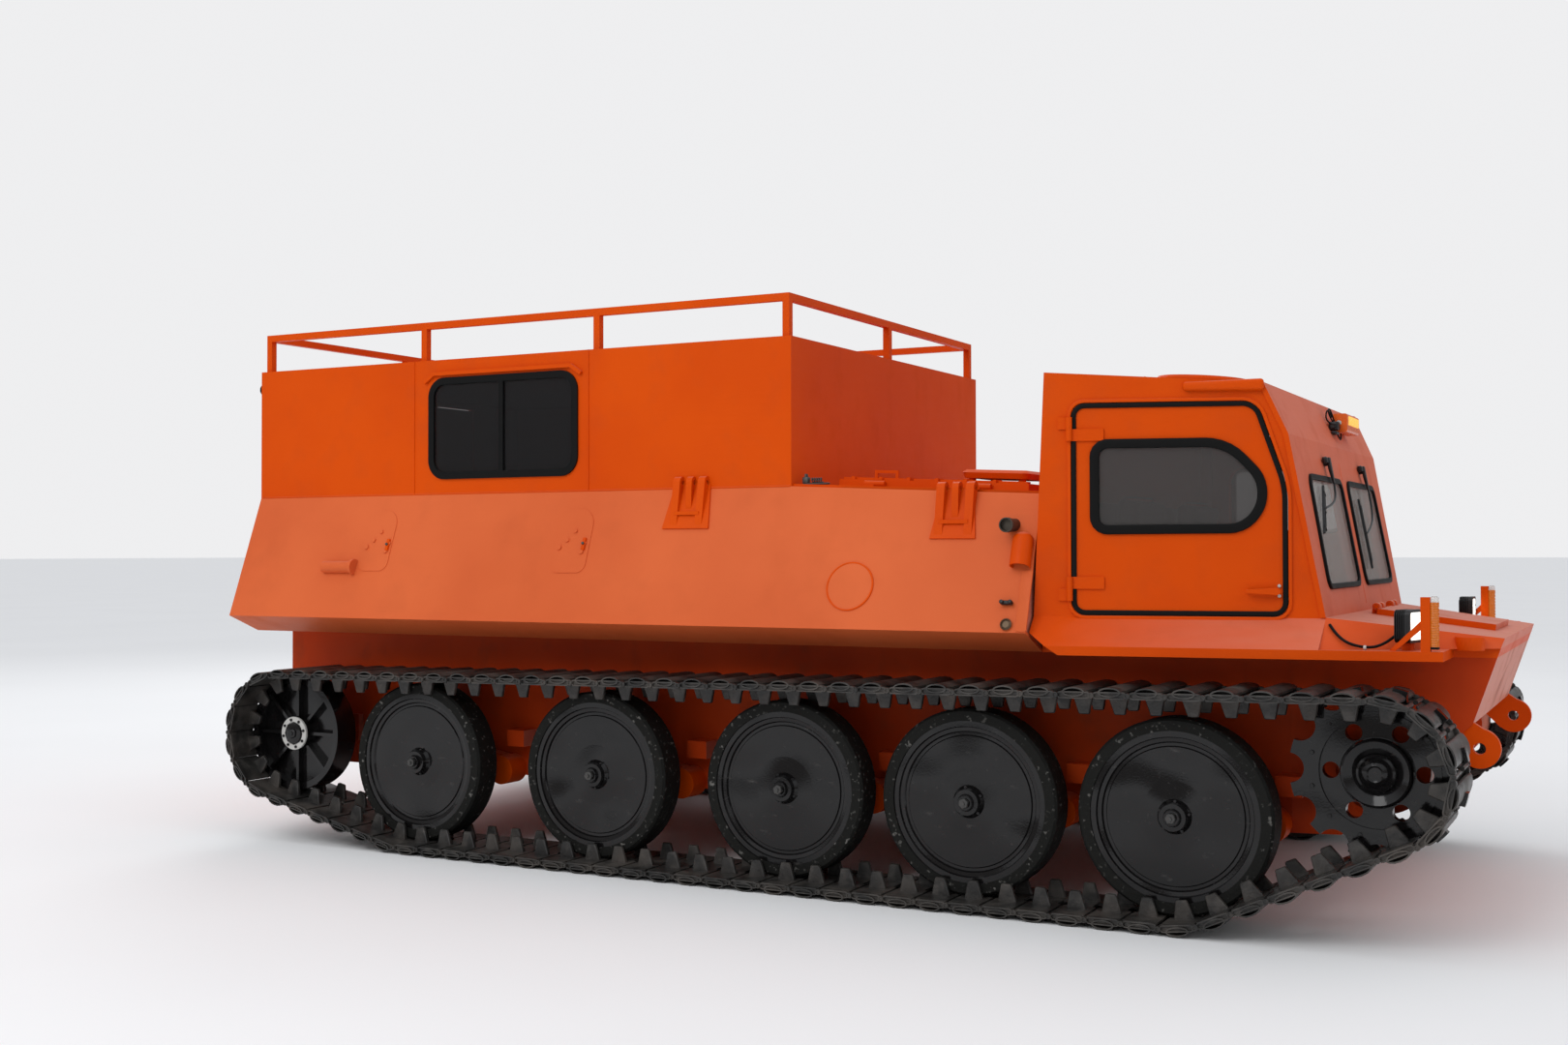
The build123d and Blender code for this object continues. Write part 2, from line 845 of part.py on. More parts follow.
with BuildPart() as cab_shell:
    with BuildSketch(Plane.XY.offset(crease_z)):
        outline(cab_plan(0))
    extrude(amount=roof_rear_z - crease_z)
    with BuildSketch(Plane.XZ):
        outline(cab_profile)
    extrude(amount=cab_side_rear_y, both=True, mode=Mode.INTERSECT)
    for x in (cab_rear_x, screen_foot_x):
        with BuildSketch(Plane.YZ.offset(x)):
            outline(skirt(x, 0))
    loft(ruled=True)
    add(cab_space.part, mode=Mode.SUBTRACT)
    add(skirt_space.part, mode=Mode.SUBTRACT)
    with BuildSketch(Plane.XY.offset(lip_z)):
        with Locations((cab_rear_x + cab_wall, 0)):
            Rectangle(cab_run - 2 * cab_wall, 2 * (cab_side_front_y - cab_wall),
                      align=(Align.MIN, Align.CENTER))
    extrude(amount=crease_z - lip_z + 2 * cab_wall, mode=Mode.SUBTRACT)
    add(door_cut.part, mode=Mode.SUBTRACT)
    add(step_cut.part, mode=Mode.SUBTRACT)
    with BuildSketch(screen_plane(-cab_wall)):
        add(screen_shape.sketch)
    extrude(amount=-3 * cab_wall, mode=Mode.SUBTRACT)
    for y in (hatch_y, -hatch_y):
        with BuildSketch(roof_plane(hatch_x, y)):
            Circle(hatch_radius - hatch_edge)
        extrude(amount=hatch_seat)
        with BuildSketch(roof_plane(hatch_x, y, 2 * cab_wall)):
            Circle(hatch_radius - hatch_edge - hatch_lap)
        extrude(amount=-4 * cab_wall, mode=Mode.SUBTRACT)
    add(cab_trim.part)
write_piece(cab_shell, "cab_shell")


# Cab doors: a panel as thick as the wall, a handle, hinge leaves on the outside
with BuildPart() as cab_door:
    with BuildSketch(side_plane()):
        add(door_shape.sketch)
    extrude(amount=cab_wall)
    with BuildSketch(side_plane(-cab_wall)):
        add(door_window.sketch)
    extrude(amount=3 * cab_wall, mode=Mode.SUBTRACT)
    with BuildSketch(side_plane()):
        for z, _ in cab_hinges:
            with Locations((door_hinge_u, z)):
                Rectangle(hinge_leaf, hinge_knuckle, align=(Align.MIN, Align.MIN))
    extrude(amount=-hinge_leaf_thickness)
    for z, _ in cab_hinges:
        knuckle(*side_point(door_hinge_u, hinge_offset), z, hinge_knuckle, bore=True)
    with BuildSketch(side_plane(-handle_reach)):
        with Locations((handle_u + handle_post, handle_z)):
            Circle(handle_width / 2)
        with Locations((handle_u - handle_post, handle_z)):
            Circle(handle_width / 4)
        make_hull()
    extrude(amount=handle_width / 2)
    with BuildSketch(side_plane(-handle_reach)):
        with Locations((handle_u - handle_post, handle_z), (handle_u + handle_post, handle_z)):
            Circle(handle_width / 4)
    extrude(amount=handle_reach)
write_pair(cab_door, "cab_door")

with BuildPart() as door_hinges:
    add(rear_hinges.part)
    with BuildSketch(side_plane()):
        for z, side in cab_hinges:
            with Locations((door_hinge_u, z + side * (hinge_knuckle + seat_gap))):
                Rectangle(hinge_leaf / 3, hinge_knuckle, align=(Align.MAX, Align.MIN))
    extrude(amount=-hinge_leaf_thickness)
    for z, side in cab_hinges:
        foot = z + side * (hinge_knuckle + seat_gap)
        pin_place = side_point(door_hinge_u, hinge_offset)
        knuckle(*pin_place, foot, hinge_knuckle, bore=False)
        with Locations((*pin_place, min(foot, z))):
            Cylinder(hinge_pin_radius, 2 * hinge_knuckle,
                     align=(Align.CENTER, Align.CENTER, Align.MIN))
    mirror(about=Plane.XZ)
write_piece(door_hinges, "door_hinges")

with BuildPart() as door_gasket:
    with BuildSketch(side_plane()):
        offset(door_window.sketch, amount=gasket)
        offset(door_window.sketch, amount=-gasket, mode=Mode.SUBTRACT)
    extrude(amount=-gasket_proud)
write_pair(door_gasket, "cab_door_gasket")

with BuildPart() as door_glass:
    with BuildSketch(side_plane(seat_gap)):
        offset(door_window.sketch, amount=-seat_gap)
    extrude(amount=glass_thickness)
write_pair(door_glass, "cab_door_glass")


# Windscreens
with BuildPart() as screen_gaskets:
    with BuildSketch(screen_plane()):
        offset(screen_shape.sketch, amount=gasket)
        offset(screen_shape.sketch, amount=-gasket, mode=Mode.SUBTRACT)
    extrude(amount=gasket_proud)
write_piece(screen_gaskets, "windscreen_gaskets")

with BuildPart() as screen_glass:
    with BuildSketch(screen_plane(seat_gap)):
        offset(screen_shape.sketch, amount=-seat_gap)
    extrude(amount=-glass_thickness)
write_piece(screen_glass, "windscreen_glass")


# Roof hatches: lids on a raised seat, hinged at the rear
hatch_axis = hatch_radius + hinge_offset
with BuildPart() as roof_hatch:
    with BuildSketch(roof_plane(hatch_x, hatch_y, hatch_seat + seat_gap)):
        Circle(hatch_radius)
        with Locations((-hatch_axis, 0)):
            Rectangle(hatch_axis, hatch_tongue, align=(Align.MIN, Align.CENTER))
    extrude(amount=hatch_thickness)
    with BuildSketch(roof_plane(hatch_x, hatch_y, hatch_seat + seat_gap + hatch_thickness)):
        Circle(hatch_radius - hatch_lap)
    extrude(amount=hatch_crown, taper=hatch_crown_taper)
    with Locations(roof_plane(hatch_x, hatch_y, hatch_seat + hinge_offset)):
        with Locations(Location((-hatch_axis, 0, 0), (90, 0, 0))):
            Cylinder(hinge_radius, hatch_tongue)
            Cylinder(hinge_pin_radius + pin_gap, 2 * hatch_tongue, mode=Mode.SUBTRACT)
write_pair(roof_hatch, "roof_hatch")

def lug_head(plane, x, y, side):
    """Round head of a lug beside a lid's tongue, on the hinge's axis."""
    middle = y + side * (hatch_tongue / 2 + leaf_gap + hinge_lug / 2)
    with Locations(plane):
        with Locations(Location((x, middle, 0), (90, 0, 0))):
            Cylinder(hinge_radius, hinge_lug)


with BuildPart() as roof_hinges:
    for side in (1, -1):
        with BuildSketch(roof_plane(hatch_x, hatch_y)):
            with Locations((-hatch_axis, side * (hatch_tongue / 2 + leaf_gap))):
                place = (Align.CENTER, Align.MIN if side > 0 else Align.MAX)
                Rectangle(2 * hinge_radius, hinge_lug, align=place)
        extrude(amount=hatch_seat + hinge_offset)
        lug_head(roof_plane(hatch_x, hatch_y, hatch_seat + hinge_offset), -hatch_axis, 0, side)
    with Locations(roof_plane(hatch_x, hatch_y, hatch_seat + hinge_offset)):
        with Locations(Location((-hatch_axis, 0, 0), (90, 0, 0))):
            Cylinder(hinge_pin_radius, hatch_tongue + 2 * leaf_gap + hinge_lug)
    mirror(about=Plane.XZ)


# Fenders over the tracks, with the rim that closes the bow
def both_edges(points):
    """Half plan given from the rear forward, completed by its mirror image."""
    return tuple(points) + tuple((x, -y) for x, y in reversed(points))


lip_bow_x = bow_foot_x + (lip_z - bow_foot_z) * bow_lean
nose_inner_x = bow_underside_x - 3 * plate
with BuildPart() as fenders:
    with BuildSketch(Plane.XY.offset(underside_z)):
        outline(both_edges(((cab_rear_x, sponson_half_width), (fender_front_x, fender_front_y),
                            (fender_front_x, tub_side_y(fender_front_x)),
                            (bow_top_x, tub_side_y(bow_top_x)))))
        outline(both_edges(((0, tub_side_y(0, plate)), (bow_taper_x, tub_side_y(0, plate)),
                            (nose_inner_x, tub_side_y(nose_inner_x, plate)))))
    extrude(amount=fender_thickness)
    with BuildSketch(Plane.XZ):
        outline(((cab_rear_x, underside_z), (bow_underside_x, underside_z),
                 (lip_bow_x, lip_z), (cab_rear_x, lip_z)))
    extrude(amount=sponson_half_width, both=True, mode=Mode.INTERSECT)
    with BuildSketch(Plane.XY.offset(underside_z)):
        outline(both_edges(((0, tub_side_y(0, plate)), (bow_taper_x, tub_side_y(0, plate)),
                            (nose_inner_x, tub_side_y(nose_inner_x, plate)))))
    extrude(amount=fender_thickness, mode=Mode.SUBTRACT)
    add(step_cut.part, mode=Mode.SUBTRACT)
write_piece(fenders, "fenders")


# Nose between the screen and the bow, hollow, with a lid on its top
def nose_section(inset):
    """Half sections of the nose at its rear and front ends."""
    rear = ((nose_foot_rear_y - inset, lip_z), (cab_side_front_y - inset, screen_foot_z - inset))
    front = ((nose_foot_front_y - inset, lip_z), (nose_edge_front_y - inset, bow_top_z - inset))
    return (screen_foot_x, rear), (bow_top_x, front)


nose_slope = (screen_foot_z - bow_top_z) / (bow_top_x - screen_foot_x)
nose_angle = degrees(atan2(screen_foot_z - bow_top_z, bow_top_x - screen_foot_x))


def nose_plane(x, height=0):
    """Plane on the nose's top over x: local x forward, normal upward."""
    lean = radians(nose_angle)
    z = screen_foot_z - nose_slope * (x - screen_foot_x)
    origin = (x + height * sin(lean), 0, z + height * cos(lean))
    return Plane(origin=origin, x_dir=(cos(lean), 0, -sin(lean)), z_dir=(sin(lean), 0, cos(lean)))


with BuildPart() as nose_space:
    for x, section in nose_section(nose_wall):
        with BuildSketch(Plane.YZ.offset(x)):
            outline(both_sides(section))
    loft(ruled=True)
    with BuildSketch(Plane.XZ):
        with Locations((screen_foot_x, lip_z)):
            Rectangle(lip_bow_x - nose_wall - screen_foot_x, screen_foot_z - lip_z,
                      align=(Align.MIN, Align.MIN))
    extrude(amount=sponson_half_width, both=True, mode=Mode.INTERSECT)

lid_length = hood_lid_front_x - hood_lid_rear_x
with BuildPart() as nose:
    for x, section in nose_section(0):
        with BuildSketch(Plane.YZ.offset(x)):
            outline(both_sides(section))
    loft(ruled=True)
    with BuildSketch(Plane.XZ):
        outline(((screen_foot_x, lip_z), (lip_bow_x, lip_z), (bow_top_x, bow_top_z),
                 (screen_foot_x, screen_foot_z)))
    extrude(amount=sponson_half_width, both=True, mode=Mode.INTERSECT)
    with BuildSketch(Plane.XY.offset(bow_lug_z)):
        with Locations((bow_lug_x, bow_lug_y), (bow_lug_x, -bow_lug_y)):
            Circle(bow_lug_radius)
    extrude(amount=bow_lug_thickness)
    add(nose_space.part, mode=Mode.SUBTRACT)
    with BuildSketch(nose_plane(hood_lid_rear_x)):
        with Locations((hood_lid_lap, 0)):
            Rectangle(lid_length - 2 * hood_lid_lap, 2 * (hood_lid_half - hood_lid_lap),
                      align=(Align.MIN, Align.CENTER))
    extrude(amount=2 * nose_wall, both=True, mode=Mode.SUBTRACT)
write_piece(nose, "nose")

with BuildPart() as hood_hatch:
    with BuildSketch(nose_plane(hood_lid_rear_x, seat_gap)):
        Rectangle(lid_length, 2 * hood_lid_half, align=(Align.MIN, Align.CENTER))
        with Locations((-hinge_offset, hood_hinge_y), (-hinge_offset, -hood_hinge_y)):
            Rectangle(2 * hinge_offset, hatch_tongue, align=(Align.MIN, Align.CENTER))
    extrude(amount=hood_lid_thickness)
    for y in (hood_hinge_y, -hood_hinge_y):
        with Locations(nose_plane(hood_lid_rear_x, hinge_offset)):
            with Locations(Location((-hinge_offset, y, 0), (90, 0, 0))):
                Cylinder(hinge_radius, hatch_tongue)
                Cylinder(hinge_pin_radius + pin_gap, 2 * hatch_tongue, mode=Mode.SUBTRACT)
write_piece(hood_hatch, "hood_hatch")

with BuildPart() as hatch_hinges:
    add(roof_hinges.part)
    for y in (hood_hinge_y, -hood_hinge_y):
        for side in (1, -1):
            with BuildSketch(nose_plane(hood_lid_rear_x)):
                with Locations((-hinge_offset, y + side * (hatch_tongue / 2 + leaf_gap))):
                    place = (Align.CENTER, Align.MIN if side > 0 else Align.MAX)
                    Rectangle(2 * hinge_radius, hinge_lug, align=place)
            extrude(amount=hinge_offset)
            lug_head(nose_plane(hood_lid_rear_x, hinge_offset), -hinge_offset, y, side)
        with Locations(nose_plane(hood_lid_rear_x, hinge_offset)):
            with Locations(Location((-hinge_offset, y, 0), (90, 0, 0))):
                Cylinder(hinge_pin_radius, hatch_tongue + 2 * leaf_gap + hinge_lug)
write_piece(hatch_hinges, "hatch_hinges")


# Engine deck: a plate over the bay and two slotted lids hinged at their outer edges
def deck_plane(x=house_front, height=0):
    """Plane on the sloping deck over x: local x forward along the deck, normal upward."""
    lean = radians(deck_angle)
    origin = (x + height * sin(lean), 0, deck_height(x) + height * cos(lean))
    return Plane(origin=origin, x_dir=(cos(lean), 0, -sin(lean)), z_dir=(sin(lean), 0, cos(lean)))


bay_length = bay_front_x - bay_rear_x
with BuildPart() as engine_deck:
    with BuildSketch(deck_plane()):
        with Locations((seat_gap, 0)):
            Rectangle((cab_rear_x - house_front) / cos(radians(deck_angle)) - 2 * seat_gap,
                      2 * deck_half_width, align=(Align.MIN, Align.CENTER))
    extrude(amount=plate)
    with BuildSketch(deck_plane(bay_rear_x)):
        for side in (1, -1):
            with Locations((bay_lap, side * bay_bar)):
                place = (Align.MIN, Align.MIN if side > 0 else Align.MAX)
                Rectangle(bay_length - 2 * bay_lap, bay_half_width - bay_lap - bay_bar, align=place)
    extrude(amount=2 * plate, mode=Mode.SUBTRACT)
    for side in (1, -1):
        for x in bay_hinges:
            with BuildSketch(deck_plane(bay_rear_x, plate)):
                with Locations((x - hinge_knuckle - seat_gap, side * bay_hinge_y)):
                    Rectangle(hinge_knuckle, 2 * hinge_radius, align=(Align.MIN, Align.CENTER))
            extrude(amount=hinge_offset)
            with Locations(deck_plane(bay_rear_x, plate + hinge_offset)):
                with Locations(Location((x - hinge_knuckle - seat_gap, side * bay_hinge_y, 0),
                                        (0, 90, 0))):
                    stand = (Align.CENTER, Align.CENTER, Align.MIN)
                    Cylinder(hinge_radius, hinge_knuckle, align=stand)
                    Cylinder(hinge_pin_radius, 2 * hinge_knuckle, align=stand)
write_piece(engine_deck, "engine_deck")

lid_top = plate + seat_gap + deck_lid_thickness
with BuildPart() as engine_lid:
    with BuildSketch(deck_plane(bay_rear_x, plate + seat_gap)):
        with Locations((0, leaf_gap)):
            Rectangle(bay_length, bay_half_width - leaf_gap, align=(Align.MIN, Align.MIN))
        with Locations((louvre_pitch / 2 + louvre_margin, bay_half_width / 2)):
            with GridLocations(louvre_pitch, 1, louvre_count, 1, align=(Align.MIN, Align.CENTER)):
                SlotOverall(louvre_length, louvre_width, rotation=90, mode=Mode.SUBTRACT)
    extrude(amount=deck_lid_thickness)
    with BuildSketch(deck_plane(bay_rear_x, lid_top)):
        for start, end in lid_panels:
            with Locations((start, bay_half_width - lid_panel_margin / 3)):
                Rectangle(end - start, lid_panel_margin, align=(Align.MIN, Align.MAX))
            with Locations((start, leaf_gap + lid_panel_margin / 3)):
                Rectangle(end - start, lid_panel_margin, align=(Align.MIN, Align.MIN))
    extrude(amount=lid_panel_height)
    with BuildSketch(deck_plane(bay_rear_x, lid_top)):
        with Locations((lid_tab_pitch / 2, bay_half_width - lid_tab_length / 2)):
            with GridLocations(lid_tab_pitch, 1, lid_tabs, 1, align=(Align.MIN, Align.CENTER)):
                Rectangle(lid_tab, lid_tab_length)
    extrude(amount=lid_tab_height)
    with BuildSketch(deck_plane(bay_rear_x, lid_top)):
        for end in (-lid_handle_length / 2, lid_handle_length / 2):
            with Locations((lid_handle_x + end, lid_handle_y)):
                Rectangle(lid_handle_rod, lid_handle_rod)
    extrude(amount=lid_handle_height)
    with BuildSketch(deck_plane(bay_rear_x, lid_top + lid_handle_height)):
        with Locations((lid_handle_x, lid_handle_y)):
            Rectangle(lid_handle_length + lid_handle_rod, lid_handle_rod)
    extrude(amount=-lid_handle_rod)
    for x in bay_hinges:
        with BuildSketch(deck_plane(bay_rear_x, plate + seat_gap)):
            with Locations((x, bay_half_width)):
                Rectangle(hinge_knuckle, bay_hinge_y - bay_half_width, align=(Align.MIN, Align.MIN))
        extrude(amount=hinge_offset + hinge_radius / 2)
        with Locations(deck_plane(bay_rear_x, plate + hinge_offset)):
            with Locations(Location((x, bay_hinge_y, 0), (0, 90, 0))):
                stand = (Align.CENTER, Align.CENTER, Align.MIN)
                Cylinder(hinge_radius, hinge_knuckle, align=stand)
                Cylinder(hinge_pin_radius + pin_gap, 2 * hinge_knuckle, align=stand,
                         mode=Mode.SUBTRACT)
write_piece(engine_lid, "engine_lid_left")

with BuildPart() as engine_lid_right:
    mirror(engine_lid.part, about=Plane.XZ)
    with BuildSketch(deck_plane(vent_x, lid_top)):
        with Locations((0, -vent_y)):
            with GridLocations(vent_size[0] - 2 * vent_post, vent_size[1] - 2 * vent_post, 2, 2):
                Circle(vent_post / 2)
    extrude(amount=vent_gap)
    with BuildSketch(deck_plane(vent_x, lid_top + vent_gap)):
        with Locations((0, -vent_y)):
            RectangleRounded(*vent_size, vent_post)
    extrude(amount=vent_cover, taper=-vent_flare)
    vent_spread = 2 * vent_cover * tan(radians(vent_flare))
    with BuildSketch(deck_plane(vent_x, lid_top + vent_gap + vent_cover)):
        with Locations((0, -vent_y)):
            RectangleRounded(vent_size[0] + vent_spread, vent_size[1] + vent_spread, vent_post)
    extrude(amount=vent_crown, taper=vent_crown_taper)
write_piece(engine_lid_right, "engine_lid_right")


# Things on the sloping sides: lift brackets, port covers, an inspection plate, a stub
def slope_height(z):
    return (z - sponson_edge_z) / cos(radians(slope_angle))


def lift_profile(low, high, length):
    """Side view of a lift bracket's cheek, a lever with a round head, cut off at a length."""
    top = along(low, high, length)
    for z, reach, radius in ((low + 2 * lift_foot_round, 0, lift_foot_round),
                             (top, lift_head_reach, lift_head_round)):
        with Locations((slope_y(z) + reach, z)):
            Circle(radius)
    make_hull()


with BuildPart() as lift_brackets:
    for start, end, low, high in lift_pads:
        middle = (start + end) / 2
        foot, head = slope_height(low), slope_height(high)
        bar_z = along(low, high, lift_bar_share)
        with BuildSketch(slope_plane()):
            outline(((start, foot), (end, foot), (end - lift_flare, head), (start + lift_flare, head)))
        extrude(amount=-lift_base)
        for x, width in ((middle - lift_spread, lift_cheek), (middle, lift_tongue),
                         (middle + lift_spread, lift_cheek)):
            with BuildSketch(Plane.YZ.offset(x - width / 2)):
                lift_profile(bar_z if width == lift_tongue else low, high, 1)
            extrude(amount=width)
        with Locations((middle, slope_y(bar_z) + lift_bar, bar_z)):
            Box(2 * lift_spread, lift_bar, lift_bar)
        with Locations(Location((middle, slope_y(high) + lift_head_reach, high), (0, 90, 0))):
            Cylinder(lift_hole, end - start, mode=Mode.SUBTRACT)
    mirror(about=Plane.XZ)
    add(upper_block.part, mode=Mode.SUBTRACT)
    with Locations(((house_front + hull_rear) / 2, 0, roof_z)):
        Box(house_length, 2 * house_half_width, 2 * (roof_z - deck_z), mode=Mode.SUBTRACT)
write_piece(lift_brackets, "lift_brackets")

with BuildPart() as side_covers:
    for start, end, low, high in port_pads:
        foot, head = slope_height(low), slope_height(high)
        with BuildSketch(slope_plane()) as port:
            with Locations(((start + end) / 2, foot)):
                Rectangle(end - start, head - foot, align=(Align.CENTER, Align.MIN))
            fillet(port.vertices().group_by(Axis.Y)[0], port_corner)
            fillet(port.vertices().group_by(Axis.Y)[-1], (end - start) / 2 - port_corner / 4)
        extrude(amount=-cover_proud)
        with BuildSketch(slope_plane()):
            for ahead, above, radius in port_bolts:
                with Locations((start + ahead, foot + above)):
                    Circle(radius)
        extrude(amount=-port_bolt_proud)
    with BuildSketch(slope_plane()):
        with Locations((side_plate_x, slope_height(side_plate_z))):
            Circle(side_plate_radius)
    extrude(amount=-cover_proud)
    stub_y = slope_y(side_stub_z) + side_stub_reach
    with Locations(Location((side_stub_x, stub_y, side_stub_z), (0, 90, 0))):
        Cylinder(side_stub_radius, side_stub_length)
    with Locations(Location((side_stub_x + side_stub_length / 2, stub_y, side_stub_z), (0, 90, 0))):
        Cylinder(side_stub_flange, side_stub_flange_length)
    mirror(about=Plane.XZ)
    add(upper_block.part, mode=Mode.SUBTRACT)
write_piece(side_covers, "side_covers")

exhaust_mouth_y = slope_y(exhaust_z) + exhaust_reach
with BuildPart() as exhaust:
    with BuildSketch(Plane.XZ.offset(exhaust_mouth_y)):
        with Locations((exhaust_x, exhaust_z)):
            Circle(exhaust_radius)
    extrude(amount=-exhaust_length)
    with BuildSketch(Plane.XZ.offset(exhaust_mouth_y)):
        with Locations((exhaust_x, exhaust_z)):
            Circle(exhaust_radius - exhaust_wall)
    extrude(amount=-exhaust_length, mode=Mode.SUBTRACT)
    add(upper_block.part, mode=Mode.SUBTRACT)
write_piece(exhaust, "exhaust_pipe")

hood_round = air_hood_width / 2
hood_face_y = slope_y(air_hood_low_z) + air_hood_reach
with BuildPart() as air_hood:
    for shrink, mode in ((0, Mode.ADD), (air_hood_wall, Mode.SUBTRACT)):
        with BuildSketch(Plane.XZ.offset(hood_face_y - shrink)):
            with Locations((air_hood_x + hood_round, air_hood_high_z - hood_round)):
                Circle(hood_round - shrink)
                Rectangle(air_hood_width - 2 * shrink, air_hood_high_z - air_hood_low_z - hood_round,
                          align=(Align.CENTER, Align.MAX))
        extrude(amount=-2 * air_hood_reach, mode=mode)
    with BuildSketch(Plane.YZ.offset(air_hood_x)):
        outline(((-hood_face_y, air_hood_high_z), (-hood_face_y, air_hood_high_z - hood_round),
                 (-slope_y(air_hood_high_z), air_hood_high_z)))
    extrude(amount=air_hood_width, mode=Mode.SUBTRACT)
    add(upper_block.part, mode=Mode.SUBTRACT)
write_piece(air_hood, "air_hood")


# Front lamps on posts, and the lamp bar over the screen
def visor_x(z):
    share = (z - brow_z) / (roof_front_z - brow_z)
    return along(brow_x, roof_front_x, share)


with BuildPart() as lamp_brackets:
    with BuildSketch(Plane.XY.offset(lip_z)):
        with Locations((lamp_post_x, lamp_post_y)):
            Rectangle(lamp_post_size, lamp_post_size)
    extrude(amount=lamp_post_height)
    with BuildSketch(Plane.XZ.offset(-lamp_post_y)):
        outline(brace_points)
    extrude(amount=lamp_post_size / 6, both=True)
    with BuildSketch(Plane.XY.offset(lip_z)):
        with Locations((lamp_x, lamp_y)):
            Rectangle(lamp_size[0] / 2, lamp_size[1] / 2)
    extrude(amount=lamp_low_z - lip_z)
    mirror(about=Plane.XZ)
    with BuildSketch(Plane.XZ.offset(-bar_middle_y)):
        outline(((visor_x(bar_foot), bar_foot), (bar_rear_x, bar_foot),
                 (bar_rear_x, bar_foot + bar_bracket),
                 (visor_x(bar_foot + bar_bracket), bar_foot + bar_bracket)))
    extrude(amount=bar_length / 4, both=True)
write_piece(lamp_brackets, "lamp_brackets")

with BuildPart() as headlamps:
    with Locations((lamp_x, lamp_y, lamp_low_z)):
        Box(*lamp_size, align=(Align.CENTER, Align.CENTER, Align.MIN))
    fillet(headlamps.edges().filter_by(Axis.X), lamp_corner)
    cable_socket(cable_points[-1], cable_points[-2], gland_radius, gland_length)
    mirror(about=Plane.XZ)
write_piece(headlamps, "headlamps")

with BuildPart() as marker_lamps:
    with Locations((lamp_post_x + lamp_post_size / 2, lamp_post_y, lip_z + plate)):
        Box(marker_depth, lamp_post_size, marker_height, align=(Align.MIN, Align.CENTER, Align.MIN))
    with Locations((hull_rear, rear_lamp_y, rear_lamp_z)):
        Box(marker_depth, rear_lamp_width, marker_height, align=(Align.MAX, Align.CENTER, Align.MIN))
    with Locations(Location((hull_rear - corner_lamp_length / 2, corner_lamp_y, corner_lamp_z),
                            (0, 90, 0))):
        Cylinder(corner_lamp_radius, corner_lamp_length)
    mirror(about=Plane.XZ)
write_piece(marker_lamps, "marker_lamps")

print("cable radii", cable_radii)
with BuildPart() as lamp_cables:
    with BuildLine():
        FilletPolyline(*cable_points, radius=cable_radii)
    with BuildSketch(Plane(origin=cable_points[0],
                           z_dir=Vector(*cable_points[1]) - Vector(*cable_points[0]))):
        Circle(cable_radius)
    sweep()
    mirror(about=Plane.XZ)
write_piece(lamp_cables, "headlamp_cables")


with BuildPart() as light_bar:
    with Locations((bar_rear_x, bar_middle_y, bar_foot - plate)):
        Box(bar_depth, bar_length, bar_height, align=(Align.MIN, Align.CENTER, Align.MIN))
    fillet(light_bar.edges().filter_by(Axis.Y), bar_corner)
write_piece(light_bar, "light_bar")

with BuildPart() as wipers:
    for y, tip_y in wiper_places:
        with BuildSketch(screen_plane()):
            with Locations((y, wiper_pivot)):
                Circle(wiper_boss)
        extrude(amount=wiper_proud)
        with BuildSketch(screen_plane(-wiper_proud)):
            with Locations((y, wiper_pivot)):
                Rectangle(wiper_arm, wiper_pivot - wiper_tip, align=(Align.CENTER, Align.MAX))
        extrude(amount=-wiper_arm)
        with BuildSketch(screen_plane(-seat_gap)):
            with Locations((tip_y, wiper_tip)):
                Rectangle(wiper_arm / 2, wiper_blade, align=(Align.CENTER, Align.CENTER))
        extrude(amount=wiper_proud - wiper_arm / 2)
write_piece(wipers, "wipers")


# Towing plates under the bow and on the rear wall
with BuildPart() as tow_hooks:
    with BuildSketch(Plane.XZ.offset(-tow_y)):
        with Locations((tow_x, tow_z)):
            Circle(tow_radius)
        outline(tow_root)
        with Locations((tow_x, tow_z)):
            Circle(tow_hole, mode=Mode.SUBTRACT)
        with Locations((hull_rear - tow_rear_reach, tow_rear_z)):
            Circle(tow_rear_radius)
            Rectangle(tow_rear_reach, 2 * tow_rear_radius, align=(Align.MIN, Align.CENTER))
        with Locations((hull_rear - tow_rear_reach, tow_rear_z)):
            Circle(tow_hole, mode=Mode.SUBTRACT)
    extrude(amount=tow_thickness / 2, both=True)
    add(tub_block.part, mode=Mode.SUBTRACT)
    mirror(about=Plane.XZ)
write_piece(tow_hooks, "tow_hooks")


# Running gear
def belt(circles):
    """Runs of the belt round the circles in turn, anticlockwise seen from the right."""
    runs = []
    count = len(circles)
    for i, (x1, z1, r1) in enumerate(circles):
        x2, z2, r2 = circles[(i + 1) % count]
        length = hypot(x2 - x1, z2 - z1)
        heading = atan2(z2 - z1, x2 - x1)
        lean = (r1 - r2) / length
        normal = heading - atan2((1 - lean**2) ** 0.5, lean)
        runs.append(((x1, z1, r1), normal, length * (1 - lean**2) ** 0.5))
    return runs


def belt_places(circles, count):
    """Evenly spaced places along the belt: x, z and the angle of the outward normal."""
    runs = belt(circles)
    pieces = []
    for i, ((x, z, r), normal, straight) in enumerate(runs):
        before = runs[i - 1][1]
        turn = (normal - before) % (2 * pi)
        pieces.append(("arc", x, z, r, before, turn, r * turn))
        pieces.append(("line", x, z, r, normal, 0, straight))
    total = sum(piece[-1] for piece in pieces)
    places = []
    for number in range(count):
        left = total * number / count
        for kind, x, z, r, angle, turn, length in pieces:
            if left <= length:
                break
            left -= length
        if kind == "arc":
            angle = angle + left / r
            left = 0
        place_x = x + r * cos(angle) - left * sin(angle)
        place_z = z + r * sin(angle) + left * cos(angle)
        places.append((place_x, place_z, degrees(angle)))
    return places, total / count


